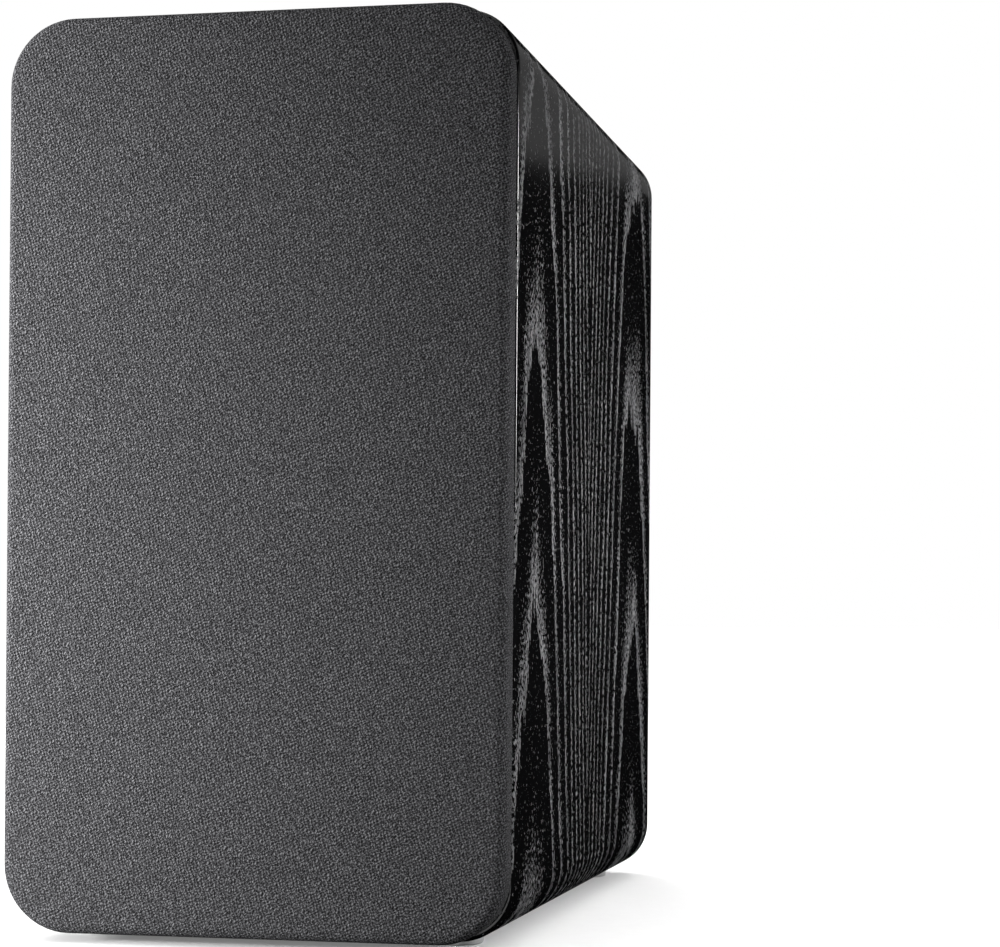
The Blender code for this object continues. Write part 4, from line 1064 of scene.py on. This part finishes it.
low, high = box_mm("inductor")
centre = Vector(((low.x + high.x) / 2, 0, (low.z + high.z) / 2))
bobbin = [(low.y, 0, 0), (low.y, 9, 0.3), (low.y + 1.4, 9, 0.3), (low.y + 1.4, 5, 0), (high.y - 1.4, 5, 0)]
bobbin += [(high.y - 1.4, 9, 0.3), (high.y, 9, 0.3), (high.y, 0, 0)]
windings = turned(wound(low.y + 1.45, high.y - 1.45, 5.1, 8.0, 0.8), centre, 64)
nylon = moulded("white_nylon", (0.62, 0.60, 0.55), 0.5, mottle=0.06)
spool = merged([(turned(bobbin, centre, 64, 2), 0), (windings, 1)])
add_piece("air_cored_coil", spool, [nylon, copper], "inductor")

low, high = box_mm("capacitor")
radius, length = (high.x - low.x) / 2, high.z - low.z
profile = [(0, 0, 0), (0, radius - 0.6, 0), (0.4, radius, 0.3), (1.8, radius, 0.2), (2.3, radius - 0.35, 0.2)]
profile += [(2.8, radius, 0.2), (length - 0.4, radius, 0.3), (length, radius - 0.6, 0), (length, 0, 0)]
sleeve = moulded("blue_shrink_sleeve", (0.025, 0.045, 0.13), 0.3, grain=0.002, depth=0.00003, Coat_Weight=0.3)
can = stood_up(turned(profile, Vector((0, 0, 0)), 48, 2), low, high)
add_piece("sleeved_capacitor", can, sleeve, "capacitor")

low, high = box_mm("resistor")
corners = [(low.x, low.z, 0.7), (high.x, low.z, 0.7), (high.x, high.z, 0.7), (low.x, high.z, 0.7)]
cement = moulded("white_cement", (0.70, 0.68, 0.62), 0.8, grain=0.0006, depth=0.0001, mottle=0.12)
add_piece("cement_resistor", slab(corners, low.y, high.y, 0.5), cement, "resistor")


# ---------------------------------------------------------------- hook-up leads
# Two stranded wires in a soft vinyl sleeve run from the filter board to each driver. They are held
# at both ends and pass clear of the foam.

woofer_route = [(-14.0, 77.1, 70.0), (-14.0, 67.0, 69.0), (-15.0, 53.0, 82.0), (-12.0, 31.0, 108.0)]
woofer_route += [(-8.0, 2.0, 136.0), (-4.0, -27.0, 154.0), (-1.0, -49.0, 158.5), (0.0, -60.5, 157.0)]
tweeter_route = [(14.0, 77.1, 70.0), (14.0, 68.0, 69.0), (12.0, 58.0, 78.0), (18.0, 42.0, 108.0)]
tweeter_route += [(22.0, 18.0, 146.0), (20.0, -14.0, 184.0), (12.0, -44.0, 208.0), (5.0, -63.0, 214.5)]
tweeter_route += [(4.0, -73.7, 214.5)]
vinyl_sleeve = moulded("red_vinyl_sleeve", (0.42, 0.025, 0.022), 0.42, grain=0.001, mottle=0.1)
for name, route, stands_for in (("woofer_hook_up_wire", woofer_route, "woofer_lead"),
                                ("tweeter_hook_up_wire", tweeter_route, "tweeter_lead")):
    add_piece(name, tube(route, 1.4, 20, 8), vinyl_sleeve, stands_for, sharp=60)


# ---------------------------------------------------------------- grille cups
# Rubber cups pressed into the baffle. Their bores grip the grille's pegs, and a flange stops them
# from going through.

cup_rubber = moulded("grille_cup_rubber", (0.022, 0.022, 0.022), 0.65, grain=0.0004, depth=0.00003)
PEG_RADIUS = 3.2
for number, socket in enumerate(sockets, 1):
    profile = [(0, PEG_RADIUS + GAP, 0.3), (0, 6, 0.4), (1.2, 6, 0.1), (1.2, 4.8, 0), (12, 4.8, 0.5)]
    profile += [(12, PEG_RADIUS + GAP, 0.2)]
    made = turned(profile, Vector((socket.x, BAFFLE_FACE, socket.z)), 48, 3)
    add_piece(f"grille_cup_{number}", made, cup_rubber, f"grille_socket_{number}")


# ---------------------------------------------------------------- grille frame
# A moulded black frame as large as the cabinet's front. Its window narrows towards the tweeter, and
# four round pegs stand on its back.

CLOTH = 0.8
GRILLE_RADIUS = 20.0
ROLLED_EDGE = 3.2
WINDOW_HALF_WIDTH, WINDOW_TOP_HALF_WIDTH = 59.0, 31.0
WINDOW_SILL, WINDOW_SHOULDER, WINDOW_TOP = 30.0, 165.0, 247.0  # above the cabinet's base
cloth_low, cloth_high = box_mm("grille_cloth")
GRILLE_FACE, GRILLE_BACK = cloth_low.y, cloth_high.y
FRAME_INSET = CLOTH + GAP


def grille_line(inset, corner_steps=14, side_steps=1):
    return wall_line(inset, GRILLE_RADIUS - inset, corner_steps, side_steps)


def rolled(inset, front, radius, steps):
    """(inset, y) from the side of a rolled front edge to its face."""
    turns = [math.pi / 2 * step / steps for step in range(steps + 1)]
    return [(inset + radius * (1 - math.cos(a)), front + radius * (1 - math.sin(a))) for a in turns]


frame_front, frame_back = GRILLE_FACE + FRAME_INSET, GRILLE_BACK - FRAME_INSET
edge = ROLLED_EDGE - FRAME_INSET
plan = [(FRAME_INSET + 0.4, frame_back), (FRAME_INSET, frame_back - 0.4)]
plan += rolled(FRAME_INSET, frame_front, edge, 6)
blank = lofted([at_depth(grille_line(inset), y) for inset, y in plan])
BASE_Z = MIDDLE_Z - HALF_HEIGHT
window_half = [(WINDOW_HALF_WIDTH, WINDOW_SILL), (WINDOW_HALF_WIDTH, WINDOW_SHOULDER)]
window_half.append((WINDOW_TOP_HALF_WIDTH, WINDOW_TOP))
window = [(x, BASE_Z + z, 8.0) for x, z in window_half]
window += [(-x, BASE_Z + z, 8.0) for x, z in reversed(window_half)]
window_line = eased(window, 10)
opening = lofted([at_depth(window_line, frame_front - 1), at_depth(window_line, frame_back + 1)])
frame_parts = [(carved(blank, [opening]), 0)]
low, high = box_mm("grille_frame")
for socket in sockets:
    peg = [(frame_back - 1, 0, 0), (frame_back - 1, 5, 0), (frame_back + 2, 5, 0.8)]
    peg += [(frame_back + 2, PEG_RADIUS, 0.5), (high.y, PEG_RADIUS, 1.6), (high.y, 0, 0)]
    frame_parts.append((turned(peg, Vector((socket.x, 0, socket.z)), 40, 4), 0))
frame_plastic = moulded("grille_frame_plastic", (0.020, 0.020, 0.020), 0.5, grain=0.0006, depth=0.00005)
add_piece("windowed_grille_frame", merged(frame_parts), frame_plastic, "grille_frame",
          body="grille")


# ---------------------------------------------------------------- grille cloth
# Charcoal speaker cloth, a close warp knit, cut as a rectangle with round corners. It is stretched
# over the frame's face, over its rolled edge and sides, and glued down round its back.

CLOTH_FLAP = 9.0
SAG, FULL_SAG_FROM_EDGE = 0.35, 30.0  # how far the stretched cloth gives over the open window


def charcoal_knit():
    """Loops of charcoal yarn in slanting rows. Colour follows the knit's relief: painted shade in the gaps
    between loops and painted light on their crests.
    """
    material, tree, shader = new_finish("charcoal_knit")
    shader.inputs["Specular IOR Level"].default_value = 0.25
    cut = node(tree, "Attribute", attribute_name="cut").outputs["Vector"]
    stray = noise(tree, cut, 0.0013, 2.0, 0.6)
    rows = []
    for slant, pull in (((500.0, -1060.0, 0.0), 2.4), ((966.0, 278.0, 0.0), -2.4)):
        phase = node(tree, "VectorMath", {0: cut, 1: slant}, operation="DOT_PRODUCT").outputs["Value"]
        shifted = maths(tree, "ADD", phase, maths(tree, "MULTIPLY", stray, pull))
        rows.append(maths(tree, "SINE", maths(tree, "MULTIPLY", shifted, math.tau)))
    lifted = maths(tree, "MULTIPLY", maths(tree, "ADD", rows[0], rows[1]), 0.16)
    fuzz = noise(tree, cut, 0.00055, 2.0, 0.7)
    strands = maths(tree, "MULTIPLY", maths(tree, "SUBTRACT", fuzz, 0.5), 1.3)
    yarn = maths(tree, "ADD", maths(tree, "ADD", lifted, 0.5), strands)
    # Painted shade and light: colour runs from near black in the knit's low gaps to pale grey on its raised
    # crests.
    shades = ramp(tree, yarn, (0.22, (0.012, 0.012, 0.013)), (0.46, (0.078, 0.077, 0.082)),
                  (0.64, (0.130, 0.130, 0.137)), (0.84, (0.36, 0.36, 0.375)))
    dull = ramp(tree, yarn, (0.3, 0.95), (0.9, 0.7))
    wire(tree, shader, shades, dull, yarn, 0.00050)
    return material


corner_steps, side_steps = 14, 14
face_steps = 24
edge_line = [Vector(p) for p in grille_line(ROLLED_EDGE, corner_steps, side_steps)]
plan = [(CLOTH_FLAP, GRILLE_BACK), (1.2, GRILLE_BACK), (0.35, GRILLE_BACK - 0.35), (0.0, GRILLE_BACK - 1.2)]
plan += rolled(0, GRILLE_FACE, ROLLED_EDGE, 10)
under_back = GRILLE_BACK - CLOTH
under = [(CLOTH_FLAP, under_back), (CLOTH + 0.5, under_back), (CLOTH, under_back - 0.5)]
under += rolled(CLOTH, GRILLE_FACE + CLOTH, ROLLED_EDGE - CLOTH, 6)


def give(x, z):
    """How far the cloth sinks at a point: nothing over the frame, and the most far from its edges."""
    up = z - BASE_Z
    lean = (WINDOW_HALF_WIDTH - WINDOW_TOP_HALF_WIDTH) / (WINDOW_TOP - WINDOW_SHOULDER)
    half = min(WINDOW_HALF_WIDTH, WINDOW_HALF_WIDTH - (up - WINDOW_SHOULDER) * lean)
    room = min(half - abs(x), up - WINDOW_SILL, WINDOW_TOP - up)
    share = min(max(room / FULL_SAG_FROM_EDGE, 0.0), 1.0)
    return SAG * share * share * (3 - 2 * share)


cloth = bmesh.new()
cut_layer = cloth.verts.layers.float_vector.new("cut")
skins = []
for surface, depth in ((plan, GRILLE_FACE), (under, GRILLE_FACE + CLOTH)):
    lengths = [0.0]
    for (inset, y), (inset_next, y_next) in zip(surface, surface[1:]):
        lengths.append(lengths[-1] + math.hypot(inset_next - inset, y_next - y))
    rows = []
    for (inset, y), length in zip(surface, lengths):
        beyond = lengths[-1] - length
        flat = grille_line(ROLLED_EDGE - beyond, corner_steps, side_steps)
        row = []
        for (x, z), (flat_x, flat_z) in zip(grille_line(inset, corner_steps, side_steps), flat):
            vertex = cloth.verts.new((x, y, z))
            vertex[cut_layer] = (flat_x * MM, flat_z * MM, 0)
            row.append(vertex)
        rows.append(row)
    centre = Vector((0, MIDDLE_Z))
    for step in range(1, face_steps + 1):
        row = []
        for point in edge_line if step < face_steps else edge_line[:1]:
            x, z = point.lerp(centre, step / face_steps)
            vertex = cloth.verts.new((x, depth + give(x, z), z))
            vertex[cut_layer] = (x * MM, z * MM, 0)
            row.append(vertex)
        rows.append(row)
    for row, following in zip(rows, rows[1:]):
        join(cloth, row, following)
    skins.append(rows)
join(cloth, skins[0][0], skins[1][0])
knit = charcoal_knit()
sheet = add_piece("stretched_grille_cloth", cloth, knit, "grille_cloth", body="grille",
                  sharp=60)


# ---------------------------------------------------------------- floor and light
# A plain pale floor under a white sky. A lamp at the left rakes the cloth, one at the right picks out
# the grain, a bank behind stands in the gloss of the side, and soft boxes fill the top and front.

floor_finish = moulded("pale_floor", (0.86, 0.86, 0.86), 0.9, grain=0.004, depth=0.00002, mottle=0.015)
floor_mesh = bpy.data.meshes.new("floor")
reach = 30.0
floor_mesh.from_pydata([(-reach, -reach, 0), (reach, -reach, 0), (reach, reach, 0), (-reach, reach, 0)],
                       [], [(0, 1, 2, 3)])
floor_mesh.materials.append(floor_finish)
floor = bpy.data.objects.new("floor", floor_mesh)
scene.collection.objects.link(floor)
floor.visible_glossy = False
floor.visible_diffuse = False

world = bpy.data.worlds.new("white_sky")
world.use_nodes = True
world.node_tree.nodes["Background"].inputs["Color"].default_value = (1, 1, 1, 1)
world.node_tree.nodes["Background"].inputs["Strength"].default_value = 1.0
world.cycles_visibility.diffuse = False
world.cycles_visibility.glossy = False
scene.world = world

floor_only = bpy.data.collections.new("lit_by_the_sky")
floor_only.objects.link(floor)
for name, strength, shadowed in (("soft_sky", 1.0, True), ("bounced_sky", 2.9, False)):
    sky = bpy.data.objects.new(name, bpy.data.lights.new(name, "SUN"))
    sky.data.energy = strength
    sky.data.angle = math.radians(160)
    sky.data.use_shadow = shadowed
    sky.light_linking.receiver_collection = floor_only
    scene.collection.objects.link(sky)


def softbox(name, place, target, width, height, watts):
    light = bpy.data.lights.new(name, "AREA")
    light.shape = "RECTANGLE"
    light.size, light.size_y = width, height
    light.energy = watts
    made = bpy.data.objects.new(name, light)
    made.location = place
    made.rotation_euler = (Vector(target) - Vector(place)).to_track_quat("-Z", "Y").to_euler()
    made.visible_camera = False
    scene.collection.objects.link(made)
    return made


def soft_spot(name, place, target, spread, stretch, watts, lamp_radius=0.08):
    """A lamp whose round pool of light fades out to its edge, stretched across and up."""
    lamp = bpy.data.lights.new(name, "SPOT")
    lamp.spot_size = math.radians(spread)
    lamp.spot_blend = 1.0
    lamp.shadow_soft_size = lamp_radius
    lamp.energy = watts
    made = bpy.data.objects.new(name, lamp)
    made.location = place
    made.rotation_euler = (Vector(target) - Vector(place)).to_track_quat("-Z", "Y").to_euler()
    made.scale = (*stretch, 1)
    scene.collection.objects.link(made)


soft_spot("left_key", (-0.78, -0.56, 0.20), (-0.240, -0.1075, 0.145), 26, (1.0, 2.2), 108)
soft_spot("right_grain_light", (0.95, 0.28, 0.30), (0.076, 0.0, 0.128), 18, (1.42, 1.0), 54, 0.16)
bank = softbox("bank_behind", (0.913, 2.0, 1.537), (0.913, 0.0, 1.537), 2.0, 1.5, 1.3)
bank.rotation_euler.rotate_axis("Z", math.radians(-14.4))
softbox("overhead", (-0.1, -0.2, 1.5), (0, 0, 0), 1.1, 1.1, 3.2)
softbox("front_fill", (0.1, -2.2, 0.7), (0, 0, 0.13), 1.6, 1.2, 2.4)
softbox("floor_card", (0.0, -0.42, 0.01), (0, -0.13, 0.0), 0.5, 0.2, 0.5)
softbox("back_fill", (-0.6, 1.0, 0.7), (0, 0, 0.13), 0.7, 0.5, 5.0)
